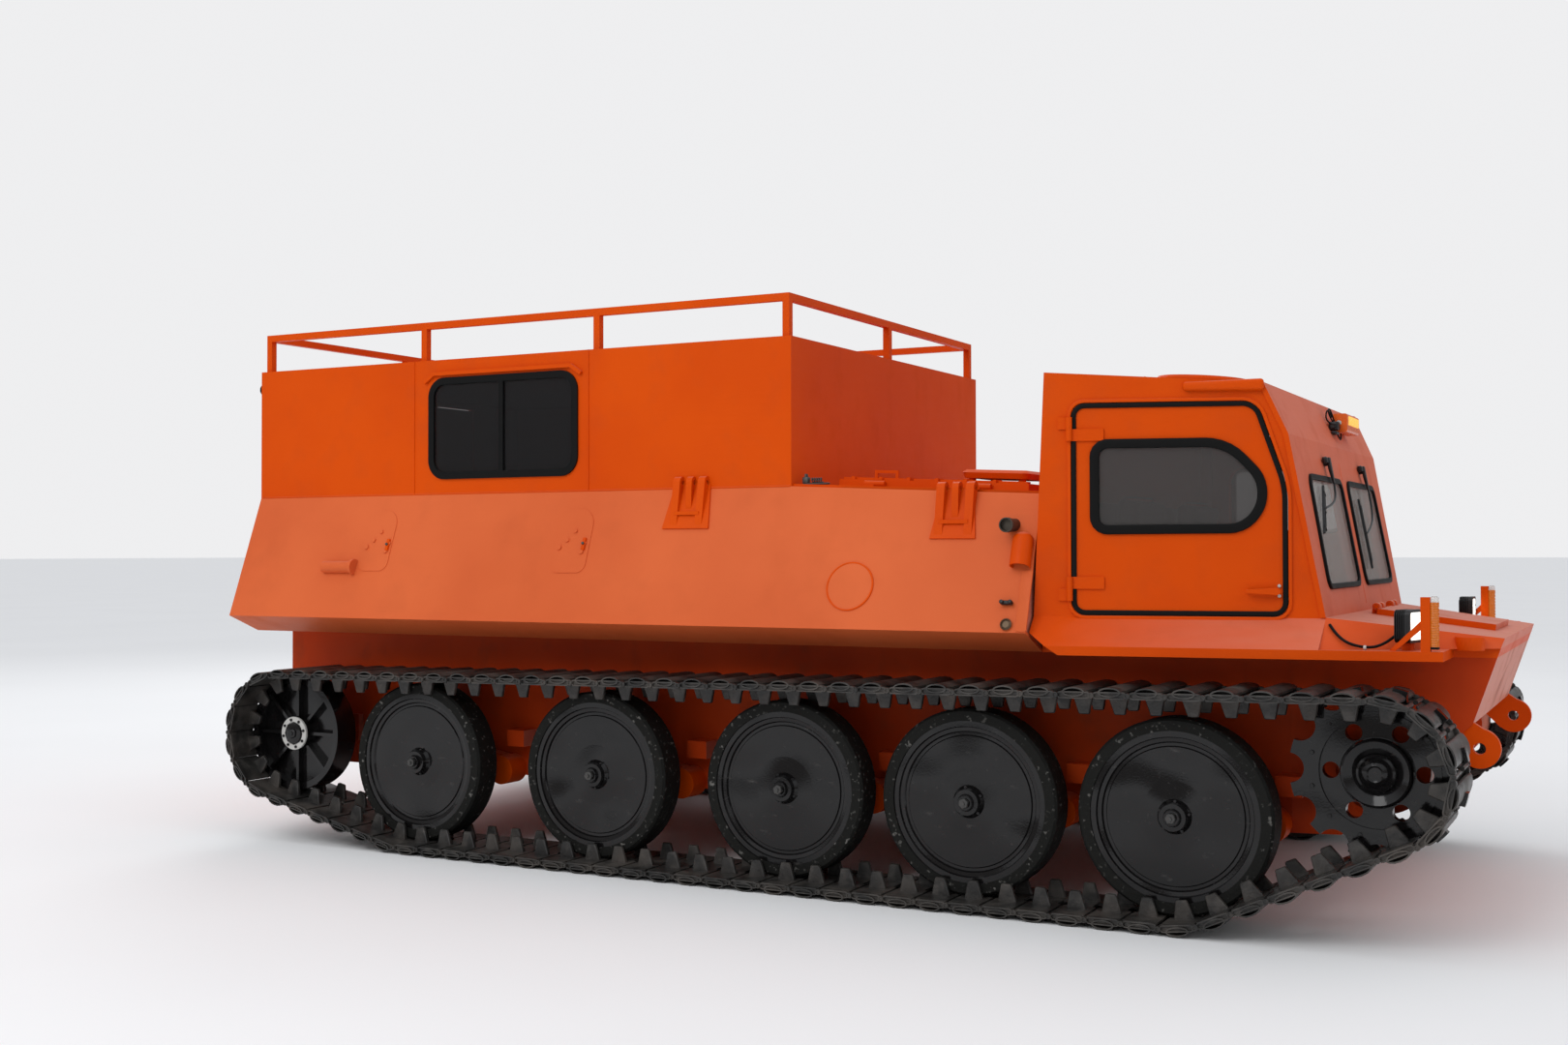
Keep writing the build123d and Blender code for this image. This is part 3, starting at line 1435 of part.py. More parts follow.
wheel_pitch_radius = wheel_radius + seat_gap + band_thickness / 2
idler_pitch_radius = idler_radius + seat_gap + band_thickness / 2
track_circles = (
    (wheel_stations[0], wheel_z, wheel_pitch_radius),
    (wheel_stations[-1], wheel_z, wheel_pitch_radius),
    (sprocket_x, sprocket_z, sprocket_pitch_radius),
    (idler_x, idler_z, idler_pitch_radius),
)


def belt_shape(growth, mode=Mode.ADD):
    """Area inside the belt, its edge moved outward from the pitch line."""
    with BuildSketch(mode=Mode.PRIVATE) as area:
        for x, z, r in track_circles:
            with Locations((x, z)):
                Circle(r + growth)
        make_hull()
    add(area.sketch, mode=mode)


link_places, link_pitch = belt_places(track_circles, link_count)
print("track pitch", round(link_pitch, 1))
grouser_section = (
    (-grouser_root / 2, -band_thickness / 4),
    (grouser_root / 2, -band_thickness / 4),
    (grouser_tip / 2, grouser_height),
    (-grouser_tip / 2, grouser_height),
)
with BuildPart() as track:
    with BuildSketch(Plane.XZ.offset(-track_centre)):
        belt_shape(band_thickness / 2)
        for x, z, angle in link_places:
            lean = radians(angle)
            foot = (x + band_thickness / 2 * cos(lean), z + band_thickness / 2 * sin(lean))
            with Locations(Location((*foot, 0), (0, 0, angle - 90))):
                outline(grouser_section)
        belt_shape(-band_thickness / 2, mode=Mode.SUBTRACT)
    extrude(amount=track_width / 2, both=True)
    with BuildSketch(Plane.XZ.offset(-track_centre)):
        with Locations((sprocket_x, sprocket_z)):
            Circle(sprocket_tip_radius + tooth_room)
    extrude(amount=tooth_slot / 2, both=True, mode=Mode.SUBTRACT)
write_pair(track, "track")

with BuildPart() as sprocket:
    with BuildSketch(Plane.XZ.offset(-track_centre)):
        with Locations((sprocket_x, sprocket_z)):
            Circle(sprocket_tip_radius)
            with PolarLocations(sprocket_pitch_radius + sprocket_gullet - tooth_depth,
                                sprocket_teeth, start_angle=tooth_start):
                Circle(sprocket_gullet, mode=Mode.SUBTRACT)
            with PolarLocations(sprocket_hole_circle, sprocket_holes):
                Circle(sprocket_hole_radius, mode=Mode.SUBTRACT)
    extrude(amount=sprocket_width / 2, both=True)
    with BuildSketch(Plane.XZ.offset(-track_centre - sprocket_width / 2)):
        with Locations((sprocket_x, sprocket_z)):
            Circle(sprocket_ring_radius + sprocket_ring_width / 2)
            Circle(sprocket_ring_radius - sprocket_ring_width / 2, mode=Mode.SUBTRACT)
    extrude(amount=-sprocket_ring_proud)
    for radius, reach in sprocket_steps:
        with BuildSketch(Plane.XZ.offset(-track_centre - sprocket_width / 2)):
            with Locations((sprocket_x, sprocket_z)):
                Circle(radius)
        extrude(amount=-reach)
write_both(sprocket, "sprockets")

with BuildPart() as final_drive:
    with BuildSketch(Plane.XZ.offset(-track_centre + sprocket_width / 2)):
        with Locations((sprocket_x, sprocket_z)):
            Circle(sprocket_flange_radius)
    extrude(amount=final_drive_step)
    with BuildSketch(Plane.XZ.offset(-track_centre + sprocket_width / 2 + final_drive_step)):
        with Locations((sprocket_x, sprocket_z)):
            Circle(final_drive_radius)
    extrude(amount=track_centre - final_drive_step - bow_half_width)
    add(tub_block.part, mode=Mode.SUBTRACT)
write_both(final_drive, "final_drives")

with BuildPart() as idler:
    with Locations(Location((idler_x, track_centre, idler_z), (90, 0, 0))):
        Cylinder(idler_radius, idler_width)
        Cylinder(idler_radius - idler_rim, idler_width, mode=Mode.SUBTRACT)
        Cylinder(idler_radius - idler_rim / 2, idler_web)
        Cylinder(idler_hub, idler_width)
    with BuildSketch(Plane.XZ.offset(-track_centre)):
        with Locations((idler_x, idler_z)):
            with PolarLocations((idler_radius - idler_rim + idler_hub) / 2, idler_ribs):
                Rectangle(idler_radius - idler_rim / 2 - idler_hub / 2, idler_rib_width)
    extrude(amount=-idler_web / 2 - idler_rib_reach)
    with BuildSketch(Plane.XZ.offset(-track_centre - idler_width / 2)):
        with Locations((idler_x, idler_z)):
            Circle(idler_bolt_circle / 2)
            with PolarLocations(idler_bolt_circle, idler_bolts):
                Circle(idler_bolt_radius)
    extrude(amount=-plate)
write_both(idler, "idlers")

with BuildPart() as idler_axle:
    with BuildSketch(Plane.XZ.offset(-tub_half_width)):
        with Locations((idler_x, idler_z)):
            Circle(idler_hub)
    extrude(amount=-(track_centre - idler_width / 2 - tub_half_width))
    with BuildSketch(Plane.XZ.offset(-tub_half_width)):
        with Locations((idler_x, idler_z)):
            Rectangle(3 * idler_hub, 2 * idler_hub)
    extrude(amount=-idler_bracket)
write_both(idler_axle, "idler_axles")

# Wheel section: distance outward from the track's centre line, then radius
wheel_section = (
    (90, 0), (90, 28), (80, 32), (80, 46), (62, 50), (50, 60), (48, 120), (48, 236), (43, 240),
    (43, 250), (50, 255), (52, 268), (60, 272), (60, rim_radius),
    (-60, rim_radius), (-50, 268), (-40, 240), (-40, 90), (-75, 62), (-75, 0),
)
tyre_section = (
    (-tyre_width / 2, rim_radius), (tyre_width / 2, rim_radius),
    (tyre_width / 2, wheel_radius - tyre_edge), (tyre_width / 2 - tyre_edge, wheel_radius),
    (tyre_edge - tyre_width / 2, wheel_radius), (-tyre_width / 2, wheel_radius - tyre_edge),
)
with BuildPart() as road_wheels:
    for x in wheel_stations:
        with BuildSketch(wheel_plane(x, wheel_z)):
            outline([(track_centre + reach, radius) for reach, radius in wheel_section])
        revolve(axis=Axis((x, 0, wheel_z), (0, 1, 0)))
write_both(road_wheels, "road_wheels")

with BuildPart() as tyres:
    for x in wheel_stations:
        with BuildSketch(wheel_plane(x, wheel_z)):
            outline([(track_centre + reach, radius) for reach, radius in tyre_section])
        revolve(axis=Axis((x, 0, wheel_z), (0, 1, 0)))
write_both(tyres, "tyres")

hub_back = track_centre + wheel_section[-1][0]
with BuildPart() as swing_arms:
    for x in wheel_stations:
        with BuildSketch(Plane.XZ.offset(-arm_inner_y)):
            with Locations((x, wheel_z)):
                Circle(hub_radius)
            with Locations((x + arm_reach, arm_pivot_z)):
                Circle(arm_pivot_radius)
            make_hull()
        extrude(amount=-arm_width)
        with BuildSketch(Plane.XZ.offset(-tub_half_width)):
            with Locations((x + arm_reach, arm_pivot_z)):
                Circle(arm_pivot_radius)
        extrude(amount=-(arm_inner_y + arm_width + arm_boss - tub_half_width))
        with BuildSketch(Plane.XZ.offset(-arm_inner_y)):
            with Locations((x, wheel_z)):
                Circle(axle_radius)
        extrude(amount=-(hub_back - arm_inner_y))
write_both(swing_arms, "swing_arms")

with BuildPart() as bump_stops:
    for x in wheel_stations:
        with BuildSketch(Plane.XZ.offset(-tub_half_width)):
            with Locations((x + bump_ahead, bump_z)):
                Rectangle(bump_length, bump_height)
        extrude(amount=-bump_reach)
write_both(bump_stops, "bump_stops")


# Inside: a floor and two seats in the cab, a dashboard, benches in the house
with BuildPart() as cab_floor:
    with BuildSketch(Plane.XY.offset(cab_floor_z)):
        with Locations((cab_rear_x + plate, 0)):
            Rectangle(bow_taper_x - cab_rear_x - plate, 2 * (tub_half_width - plate),
                      align=(Align.MIN, Align.CENTER))
    extrude(amount=-plate)
write_piece(cab_floor, "cab_floor")

with BuildPart() as seats:
    for side in (1, -1):
        with BuildSketch(Plane.XZ.offset(-side * seat_y)):
            outline(seat_profile)
        extrude(amount=seat_width / 2, both=True)
write_piece(seats, "cab_seats")

dash_front_x = screen_foot_x - cab_wall - seat_gap
with BuildPart() as dashboard:
    with BuildSketch(Plane.XZ):
        outline(((dash_rear_x, dash_low_z), (dash_front_x, dash_low_z), (dash_front_x, dash_high_z),
                 (dash_rear_x + dash_rise, dash_high_z + dash_rise)))
    extrude(amount=dash_half_width, both=True)
write_piece(dashboard, "dashboard")

with BuildPart() as benches:
    for side in (1, -1):
        with BuildSketch(Plane.YZ.offset(bench_rear_x)):
            outline([(side * y, z) for y, z in bench_section])
        extrude(amount=bench_length)
write_piece(benches, "rear_benches")
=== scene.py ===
from contextlib import contextmanager
from math import atan2, cos, hypot, pi, radians, sin, tan

import bmesh
import bpy
from mathutils import Matrix, Vector


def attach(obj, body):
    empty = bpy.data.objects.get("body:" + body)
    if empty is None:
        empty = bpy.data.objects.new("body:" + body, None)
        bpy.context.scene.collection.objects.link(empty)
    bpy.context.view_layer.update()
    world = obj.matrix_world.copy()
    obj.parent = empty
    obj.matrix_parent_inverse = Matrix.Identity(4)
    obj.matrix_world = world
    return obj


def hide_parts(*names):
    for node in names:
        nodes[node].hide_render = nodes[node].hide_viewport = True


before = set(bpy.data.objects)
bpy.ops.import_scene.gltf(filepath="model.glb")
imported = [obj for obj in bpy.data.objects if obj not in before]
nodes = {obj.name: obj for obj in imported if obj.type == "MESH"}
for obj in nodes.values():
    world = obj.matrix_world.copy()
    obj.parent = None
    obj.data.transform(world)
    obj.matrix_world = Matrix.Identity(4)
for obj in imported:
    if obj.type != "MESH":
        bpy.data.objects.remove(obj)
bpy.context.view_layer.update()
ops = bpy.ops

# Lengths are metres in the row frame. Places read off the CAD drawing count from
# amidships, so they are moved forward by this much, as the CAD pieces are.
AMIDSHIPS = 0.0365

# Camera, solved from the photograph: its place, its turns in degrees, and its focal length
# in pixels of a picture of the given width
CAMERA_PLACE = (3192, -6777.3, 1282.4)
YAW, PITCH, ROLL = 28.08, 0.98, -0.11
FOCAL_PIXELS, PICTURE_WIDTH = 1736, 1620
SENSOR_WIDTH = 36

# Running gear: axle places along and up, and the middle of each track
TRACK_MIDDLE = 1057
TRACK_WIDTH = 386
SHOES = 87
WHEELS = (-1620, -700, 166, 920, 1667)
WHEEL_HEIGHT = 378.3
SPROCKET_X, SPROCKET_Z = 2321, 564
IDLER_X, IDLER_Z = -2331, 466

# Body planes, as two places that each runs through
CAB_REAR_X, CAB_REAR_Y = 1160, 1082
CAB_FRONT_X, CAB_FRONT_Y = 2126, 870
SCREEN_FOOT_X, SCREEN_FOOT_Z = 2126, 1053
SCREEN_HEAD_X, SCREEN_HEAD_Z = 2011, 1682
SLOPE_FOOT_Y, SLOPE_FOOT_Z = 1172, 993
SLOPE_HEAD_Y, SLOPE_HEAD_Z = 977, 1536

# Curves of rods and cables are quadratic, and corners of plates are taken off in steps
CURVE_ORDER = 3
ARC_STEPS = 5


def place(x, y, z):
    """A place given in millimetres from amidships, in the row frame's metres."""
    return Vector((x / 1000 + AMIDSHIPS, y / 1000, z / 1000))


# Camera at the photograph's place, off the right-hand side
yaw, pitch, roll = radians(YAW), radians(PITCH), radians(ROLL)
ahead = Vector((-sin(yaw) * cos(pitch), cos(yaw) * cos(pitch), sin(pitch)))
flat_right = Vector((cos(yaw), sin(yaw), 0))
flat_up = flat_right.cross(ahead)
right = flat_right * cos(roll) + flat_up * sin(roll)
up = flat_up * cos(roll) - flat_right * sin(roll)
turn = Matrix((right, up, -ahead)).transposed()
ops.object.select_all(action="DESELECT")
ops.object.camera_add(location=place(*CAMERA_PLACE), rotation=turn.to_euler())
camera = bpy.context.object
camera.name = "camera"
camera.data.sensor_fit = "HORIZONTAL"
camera.data.sensor_width = SENSOR_WIDTH
camera.data.lens = SENSOR_WIDTH * FOCAL_PIXELS / PICTURE_WIDTH
camera.data.clip_end = 1000
bpy.context.scene.camera = camera

# Headlamp cables: the route's corners out of the nose, down and up into the lamp. Each
# corner's own radius is the cable's, and the bevel is 1, so that the curve's box stays close.
CABLE_RADIUS = 0.005
cable_corners = ((2143, 893.2, 1031.1), (2178, 930, 984), (2250, 932, 957), (2315, 908, 962),
                 (2354, 876, 1000))
cables = []
for side, name in ((-1, "headlamp_cable_right"), (1, "headlamp_cable_left")):
    ops.object.select_all(action="DESELECT")
    route = bpy.data.curves.new(name, "CURVE")
    route.dimensions = "3D"
    line = route.splines.new("NURBS")
    line.points.add(len(cable_corners) - 1)
    for point, (x, y, z) in zip(line.points, cable_corners):
        point.co = (*place(x, side * y, z), 1)
        point.radius = CABLE_RADIUS
    line.order_u = CURVE_ORDER
    line.use_endpoint_u = True
    route.bevel_depth = 1
    route.bevel_resolution = 3
    cable = bpy.data.objects.new(name, route)
    bpy.context.collection.objects.link(cable)
    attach(cable, "hull")
    x, y, z = cable_corners[0]
    place(x, side * y, z)
    cables.append(cable)
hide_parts("headlamp_cables")


# Finishes
class Wire:
    """A node's output that takes Python arithmetic: each sign adds its Math node."""

    def __init__(self, finish, socket):
        self.finish = finish
        self.socket = socket

    def reckon(self, operation, *values):
        return self.finish.node("Math", {"operation": operation}, dict(enumerate(values)))

    def __add__(self, other):
        return self.reckon("ADD", self, other)

    def __mul__(self, other):
        return self.reckon("MULTIPLY", self, other)

    __radd__ = __add__
    __rmul__ = __mul__


class Finish:
    """A material with its Principled shader, and one way of adding any other node."""

    def __init__(self, name, **uniform):
        self.material = bpy.data.materials.new(name)
        self.material.use_nodes = True
        self.tree = self.material.node_tree
        self.shader = self.tree.nodes["Principled BSDF"]
        self.feed(self.shader, uniform)
        self.where = self.node("TexCoord", out="Object")

    def feed(self, node, values):
        for key, value in values.items():
            socket = node.inputs[key.replace("_", " ") if isinstance(key, str) else key]
            if isinstance(value, Wire):
                self.tree.links.new(value.socket, socket)
            else:
                socket.default_value = value

    def node(self, kind, settings=None, values=None, out=0):
        node = self.tree.nodes.new("ShaderNode" + kind)
        for name, value in (settings or {}).items():
            if name == "stops":
                ramp = node.color_ramp.elements
                while len(ramp) < len(value):
                    ramp.new(0.5)
                for stop, (position, colour) in zip(ramp, value):
                    stop.position = position
                    stop.color = colour
            else:
                setattr(node, name, value)
        self.feed(node, values or {})
        return Wire(self, node.outputs[out])

    def noise(self, scale, detail=2, vector=None):
        values = {"Vector": vector or self.where, "Scale": scale, "Detail": detail}
        return self.node("TexNoise", {}, values)

    def stretched(self, x, y, z):
        """Object coordinates drawn out or squeezed along each axis."""
        return self.node("Mapping", {}, {"Vector": self.where, "Scale": (x, y, z)})

    def ramp(self, value, *stops):
        grey = [(at, (shade, shade, shade, 1)) for at, shade in stops]
        return self.node("ValToRGB", {"stops": grey}, {0: value})

    def mix(self, share, first, second):
        return self.node("Mix", {"data_type": "RGBA"}, {0: share, 6: first, 7: second}, out=2)

    def bump(self, height, distance, under=None):
        values = {"Height": height, "Distance": distance, "Strength": 1}
        if under:
            values["Normal"] = under
        return self.node("Bump", {}, values)

    def show(self, **wires):
        self.feed(self.shader, wires)
        return self.material


# The first colour is a pale painted sheen for reflected sky and snow; the second is grime
PAINTED_SHEEN_COLOUR = (0.62, 0.22, 0.15, 1)
GRIME = (0.24, 0.045, 0.018, 1)


def orange_paint(name, first, second, grime, ahead=0.0, above=0.0):
    """Brushed-on enamel over sheet steel: soft waves and brush marks. A pale painted sheen lies
    on what faces ahead and above, by those shares, standing for reflected sky and snow, and
    grime lies in faint runs."""
    paint = Finish(name, IOR=1.22, Specular_IOR_Level=0.3)
    facing_way = paint.node("TexCoord", out="Normal")
    # Painted sheen shares, growing as the paint faces ahead (X) and up (Z)
    sheen_facing = []
    for axis, least in (("X", 0.25), ("Z", 0.68)):
        along = paint.node("SeparateXYZ", {}, {0: facing_way}, out=axis)
        sheen_facing.append(paint.ramp(along, (least, 0), (0.9, 1)))
    broad = paint.noise(1.6, 3)
    fine = paint.noise(9, 4)
    strokes = paint.noise(6, 4, vector=paint.stretched(1, 1, 7))
    streaks = paint.noise(5, 5, vector=paint.stretched(1, 1, 0.12))
    colour = paint.mix(paint.ramp(broad, (0.35, 0), (0.65, 1)), first, second)
    # Painted sheen: the pale colour laid on by those shares, broken up by the brush strokes
    sheen_share = sheen_facing[0] * ahead + sheen_facing[1] * above
    sheen_share = sheen_share * (0.75 + strokes * 0.5)
    colour = paint.mix(sheen_share, colour, PAINTED_SHEEN_COLOUR)
    dust = paint.ramp(fine * streaks, (0.26, 0), (0.44, 1))
    colour = paint.mix(dust * grime, colour, GRIME)
    waves = paint.bump(broad, 0.010)
    marks = paint.bump(strokes, 0.0008, under=waves)
    peel = paint.bump(paint.noise(190, 2), 0.00025, under=marks)
    rough = 0.36 + strokes * 0.14 + dust * 0.12
    return paint.show(Base_Color=colour, Roughness=rough, Normal=peel)


def black_paint():
    """Gloss black enamel with scuffs and a little dust."""
    paint = Finish("black_gloss", IOR=1.45, Specular_IOR_Level=0.42)
    scuffs = paint.ramp(paint.noise(14, 6, vector=paint.stretched(1, 1, 3)), (0.66, 0), (0.78, 1))
    specks = paint.ramp(paint.noise(70, 3), (0.68, 0), (0.76, 1))
    worn = scuffs * 0.35 + specks * 0.25
    colour = paint.mix(worn, (0.0055, 0.0050, 0.0052, 1), (0.09, 0.085, 0.08, 1))
    waves = paint.bump(paint.noise(2.6, 1), 0.045)
    peel = paint.bump(paint.noise(160, 2), 0.0002, under=waves)
    return paint.show(Base_Color=colour, Roughness=0.12 + worn * 0.5, Normal=peel)


def worn_rubber():
    """Tyre rubber, scraped grey in small chips."""
    rubber = Finish("worn_rubber", IOR=1.3, Specular_IOR_Level=0.2)
    chips = rubber.ramp(rubber.noise(60, 5), (0.61, 0), (0.70, 1))
    patches = rubber.ramp(rubber.noise(9, 3), (0.40, 0), (0.62, 1))
    worn = chips * (0.25 + patches * 0.75)
    colour = rubber.mix(worn, (0.011, 0.011, 0.010, 1), (0.15, 0.145, 0.135, 1))
    surface = rubber.bump(rubber.noise(70, 5), 0.003)
    return rubber.show(Base_Color=colour, Roughness=0.62 + worn * 0.25, Normal=surface)


def track_steel():
    steel = Finish("track_steel")
    worn = steel.ramp(steel.noise(22, 5), (0.46, 0), (0.70, 1))
    dust = steel.ramp(steel.noise(7, 3), (0.45, 0), (0.75, 1))
    colour = steel.mix(worn, (0.014, 0.013, 0.012, 1), (0.075, 0.07, 0.065, 1))
    colour = steel.mix(dust * 0.4, colour, (0.14, 0.115, 0.095, 1))
    surface = steel.bump(steel.noise(120, 4), 0.0015)
    return steel.show(Base_Color=colour, Roughness=0.38 + dust * 0.3, Metallic=worn * 0.5,
                      Normal=surface)


def plain(name, colour, roughness, grain=140, depth=0.0004, **uniform):
    """A plain moulded or cast finish: a little mottling and a fine grain."""
    finish = Finish(name, **uniform)
    mottle = finish.noise(grain / 8, 3)
    darker = tuple(c * 0.72 for c in colour[:3]) + (1,)
    tint = finish.mix(mottle, darker, (*colour[:3], 1))
    surface = finish.bump(finish.noise(grain, 3), depth)
    return finish.show(Base_Color=tint, Roughness=roughness + mottle * 0.12, Normal=surface)


def glass(name, tint, alpha, bend=1.5):
    pane = Finish(name, IOR=bend, Base_Color=(*tint, 1), Alpha=alpha)
    smears = pane.noise(5, 3)
    wavy = pane.bump(pane.noise(3, 1), 0.0012)
    return pane.show(Roughness=0.02 + smears * 0.05, Normal=wavy)


def glowing(name, colour, strength, lit):
    lens = Finish(name, IOR=1.5, Emission_Strength=strength)
    ribs = lens.node("TexWave", {"bands_direction": "Z"},
                     {"Vector": lens.where, "Scale": 60.0})
    tint = lens.mix(ribs, (*(c * 0.7 for c in colour), 1), (*colour, 1))
    glow = lens.mix(ribs, (*(c * 0.8 for c in lit), 1), (*lit, 1))
    surface = lens.bump(ribs, 0.0015)
    return lens.show(Base_Color=tint, Emission_Color=glow, Roughness=0.12 + ribs * 0.08,
                     Normal=surface)


def woven(name, dark, light):
    cloth = Finish(name, Sheen_Weight=0.3)
    over, under = (cloth.node("TexWave", {"bands_direction": axis},
                              {"Vector": cloth.where, "Scale": 240.0}) for axis in "XZ")
    weave = over * under
    tint = cloth.mix(weave * 0.6 + cloth.noise(8, 3) * 0.4, dark, light)
    return cloth.show(Base_Color=tint, Roughness=0.85 + weave * 0.1,
                      Normal=cloth.bump(weave, 0.0006))


BRIGHT, DEEP = (0.69, 0.076, 0.001, 1), (0.63, 0.062, 0.001, 1)
# Cab, doors, deck and fittings: the orange with a painted sheen on what faces up
orange = orange_paint("orange_enamel", BRIGHT, DEEP, 0.10, above=0.36)
# Sloping sides: a paler orange, partly faded paint and partly painted sheen of the sky, with more
# painted sheen on what faces up
faded_sheen_slope_orange = orange_paint("slope_enamel", (0.69, 0.135, 0.040, 1), (0.63, 0.115, 0.033, 1),
                            0.07, above=0.3)
# Front plates: the same orange with a strong painted sheen, for sky and snow reflected on what
# faces ahead and up
front_sheen_orange = orange_paint("front_enamel", BRIGHT, DEEP, 0.12, ahead=0.50, above=0.90)
# Lower hull and inner parts: the same orange darkened as painted shade, with painted sheen on what
# faces ahead
shaded_hull_orange = orange_paint("hull_enamel", (0.56, 0.055, 0.006, 1), (0.42, 0.036, 0.005, 1), 0.5,
                           ahead=0.9)
black = black_paint()
tyre = worn_rubber()
steel = track_steel()
seal = plain("black_rubber", (0.006, 0.006, 0.006), 0.46, IOR=1.3, Specular_IOR_Level=0.25)
dark_plastic = plain("dark_plastic", (0.009, 0.009, 0.010), 0.36, 260,
                     Specular_IOR_Level=0.4)
iron = plain("cast_iron", (0.13, 0.135, 0.14), 0.55, 60, 0.0015, Metallic=0.7)
burnt = plain("burnt_steel", (0.09, 0.075, 0.06), 0.45, 80, 0.0006, Metallic=0.8)
tinted = glass("tinted_glass", (0.012, 0.012, 0.013), 0.62)
hazy = glass("door_glass", (0.075, 0.070, 0.068), 0.58, 1.7)
# Windscreen: a part-opaque pane whose pale base is a painted reflection of the sky
clear = glass("screen_glass", (0.52, 0.49, 0.46), 0.40, 1.8)
amber = glowing("amber_lens", (0.50, 0.10, 0.006), 0.22, (1.0, 0.30, 0.02))
lit_amber = glowing("lit_amber_lens", (0.9, 0.45, 0.06), 0.8, (1.0, 0.60, 0.12))
red_lens = glowing("red_lens", (0.5, 0.01, 0.008), 0.1, (1.0, 0.04, 0.02))
lit_white = glowing("lit_lens", (0.95, 0.95, 0.92), 1.3, (1.0, 0.97, 0.90))
amber_case = plain("amber_case", (0.85, 0.13, 0.006), 0.22, 120, 0.0003)
clear_lens = glass("clear_lens", (0.75, 0.75, 0.72), 0.5)
worn_metal = plain("worn_metal", (0.09, 0.088, 0.085), 0.42, 90, 0.0008, Metallic=0.6)
pale_paint = plain("pale_paint", (0.62, 0.61, 0.58), 0.5, 60, 0.0006)
brass = plain("worn_brass", (0.15, 0.10, 0.06), 0.42, 90, 0.0006, Metallic=0.7)
cloth = woven("seat_cloth", (0.012, 0.012, 0.014, 1), (0.05, 0.05, 0.055, 1))

# The finish of each CAD node
for material, names in (
        (shaded_hull_orange, "lower_hull engine_bulkheads cab_floor bump_stops idler_axles "
         "final_drives"),
        (faded_sheen_slope_orange, "upper_hull side_covers"),
        (orange, "rear_house roof_rail rear_door_left rear_door_right door_hinges "
         "cab_door_left cab_door_right roof_hatch_left roof_hatch_right hatch_hinges fenders "
         "engine_deck engine_lid_left engine_lid_right lift_brackets air_hood lamp_brackets "
         "tow_hooks swing_arms"),
        (front_sheen_orange, "cab_shell nose hood_hatch"),
        (black, "road_wheels sprockets idlers"),
        (tyre, "tyres"),
        (steel, "track_left track_right"),
        (seal, "house_window_gaskets windscreen_gaskets cab_door_gasket_left "
         "cab_door_gasket_right headlamp_cables"),
        (dark_plastic, "wipers dashboard headlamps light_bar"),
        (iron, "engine"),
        (burnt, "exhaust_pipe"),
        (tinted, "house_window_glass"),
        (hazy, "cab_door_glass_left cab_door_glass_right"),
        (clear, "windscreen_glass"),
        (amber, "marker_lamps"),
        (cloth, "cab_seats rear_benches")):
    for name in names.split():
        for slot in nodes[name].material_slots:
            slot.material = material
for cable in cables:
    cable.data.materials.append(seal)


# Ways of shaping. Sizes and places are in millimetres, counted from amidships.
def settled():
    """The object just added, with its place, turn and scale worked into its mesh."""
    ops.object.transform_apply(location=True, rotation=True, scale=True)
    return bpy.context.object


def block(spot, size):
    ops.object.select_all(action="DESELECT")
    ops.mesh.primitive_cube_add(size=1, location=Vector(spot) / 1000,
                                scale=Vector(size) / 1000)
    return settled()


def drum(spot, radius, length, along="Z", sides=24):
    """A round bar whose middle is at a spot, its length running along an axis."""
    turn = {"X": (0, pi / 2, 0), "Y": (pi / 2, 0, 0), "Z": (0, 0, 0)}[along]
    ops.object.select_all(action="DESELECT")
    ops.mesh.primitive_cylinder_add(vertices=sides, radius=radius / 1000, depth=length / 1000,
                                    location=Vector(spot) / 1000, rotation=turn)
    return settled()


def middle(part):
    return sum((v.co for v in part.verts), Vector()) / len(part.verts) * 1000


@contextmanager
def shaping(thing):
    """Edit mode on one object."""
    ops.object.select_all(action="DESELECT")
    thing.select_set(True)
    bpy.context.view_layer.objects.active = thing
    ops.object.mode_set(mode="EDIT")
    yield thing
    ops.object.mode_set(mode="OBJECT")


def take(thing, kind, wanted):
    """In edit mode, selects the faces, edges or vertices that are wanted."""
    ops.mesh.select_mode(type=kind)
    ops.mesh.select_all(action="DESELECT")
    drawn = bmesh.from_edit_mesh(thing.data)
    parts = {"VERT": drawn.verts, "EDGE": drawn.edges, "FACE": drawn.faces}[kind]
    for part in parts:
        part.select_set(wanted(part))
    drawn.select_flush_mode()
    bmesh.update_edit_mesh(thing.data)


def rounded(thing, width, steps=2, wanted=lambda edge: True):
    with shaping(thing):
        take(thing, "EDGE", lambda edge: wanted(edge) and edge.calc_face_angle(0) > 0.35)
        ops.mesh.bevel(offset=width / 1000, segments=steps, affect="EDGES")
    return thing


def sliced(thing, axis, places):
    """Cuts new edge loops across a thing at places along an axis."""
    lay = Vector([letter == axis for letter in "XYZ"])
    with shaping(thing):
        for spot in places:
            ops.mesh.select_all(action="SELECT")
            ops.mesh.bisect(plane_co=lay * spot / 1000, plane_no=lay)
    return thing


def stepped(thing, wanted, rim, height, each=False):
    """Insets the wanted faces and draws them out, or in where the height is less than 0."""
    with shaping(thing):
        take(thing, "FACE", wanted)
        ops.mesh.inset(thickness=rim / 1000, use_individual=each)
        ops.mesh.extrude_region_shrink_fatten(TRANSFORM_OT_shrink_fatten={"value": height / 1000})
    return thing


def drawn_out(thing, wanted, *steps):
    """Draws faces out step by step: how far along X, Y and Z, and how much slimmer."""
    with shaping(thing):
        take(thing, "FACE", wanted)
        for x, y, z, slim in steps:
            step = Vector((x, y, z)) / 1000
            ops.mesh.extrude_region_move(TRANSFORM_OT_translate={"value": step})
            ops.transform.resize(value=(slim, slim, slim))
    return thing


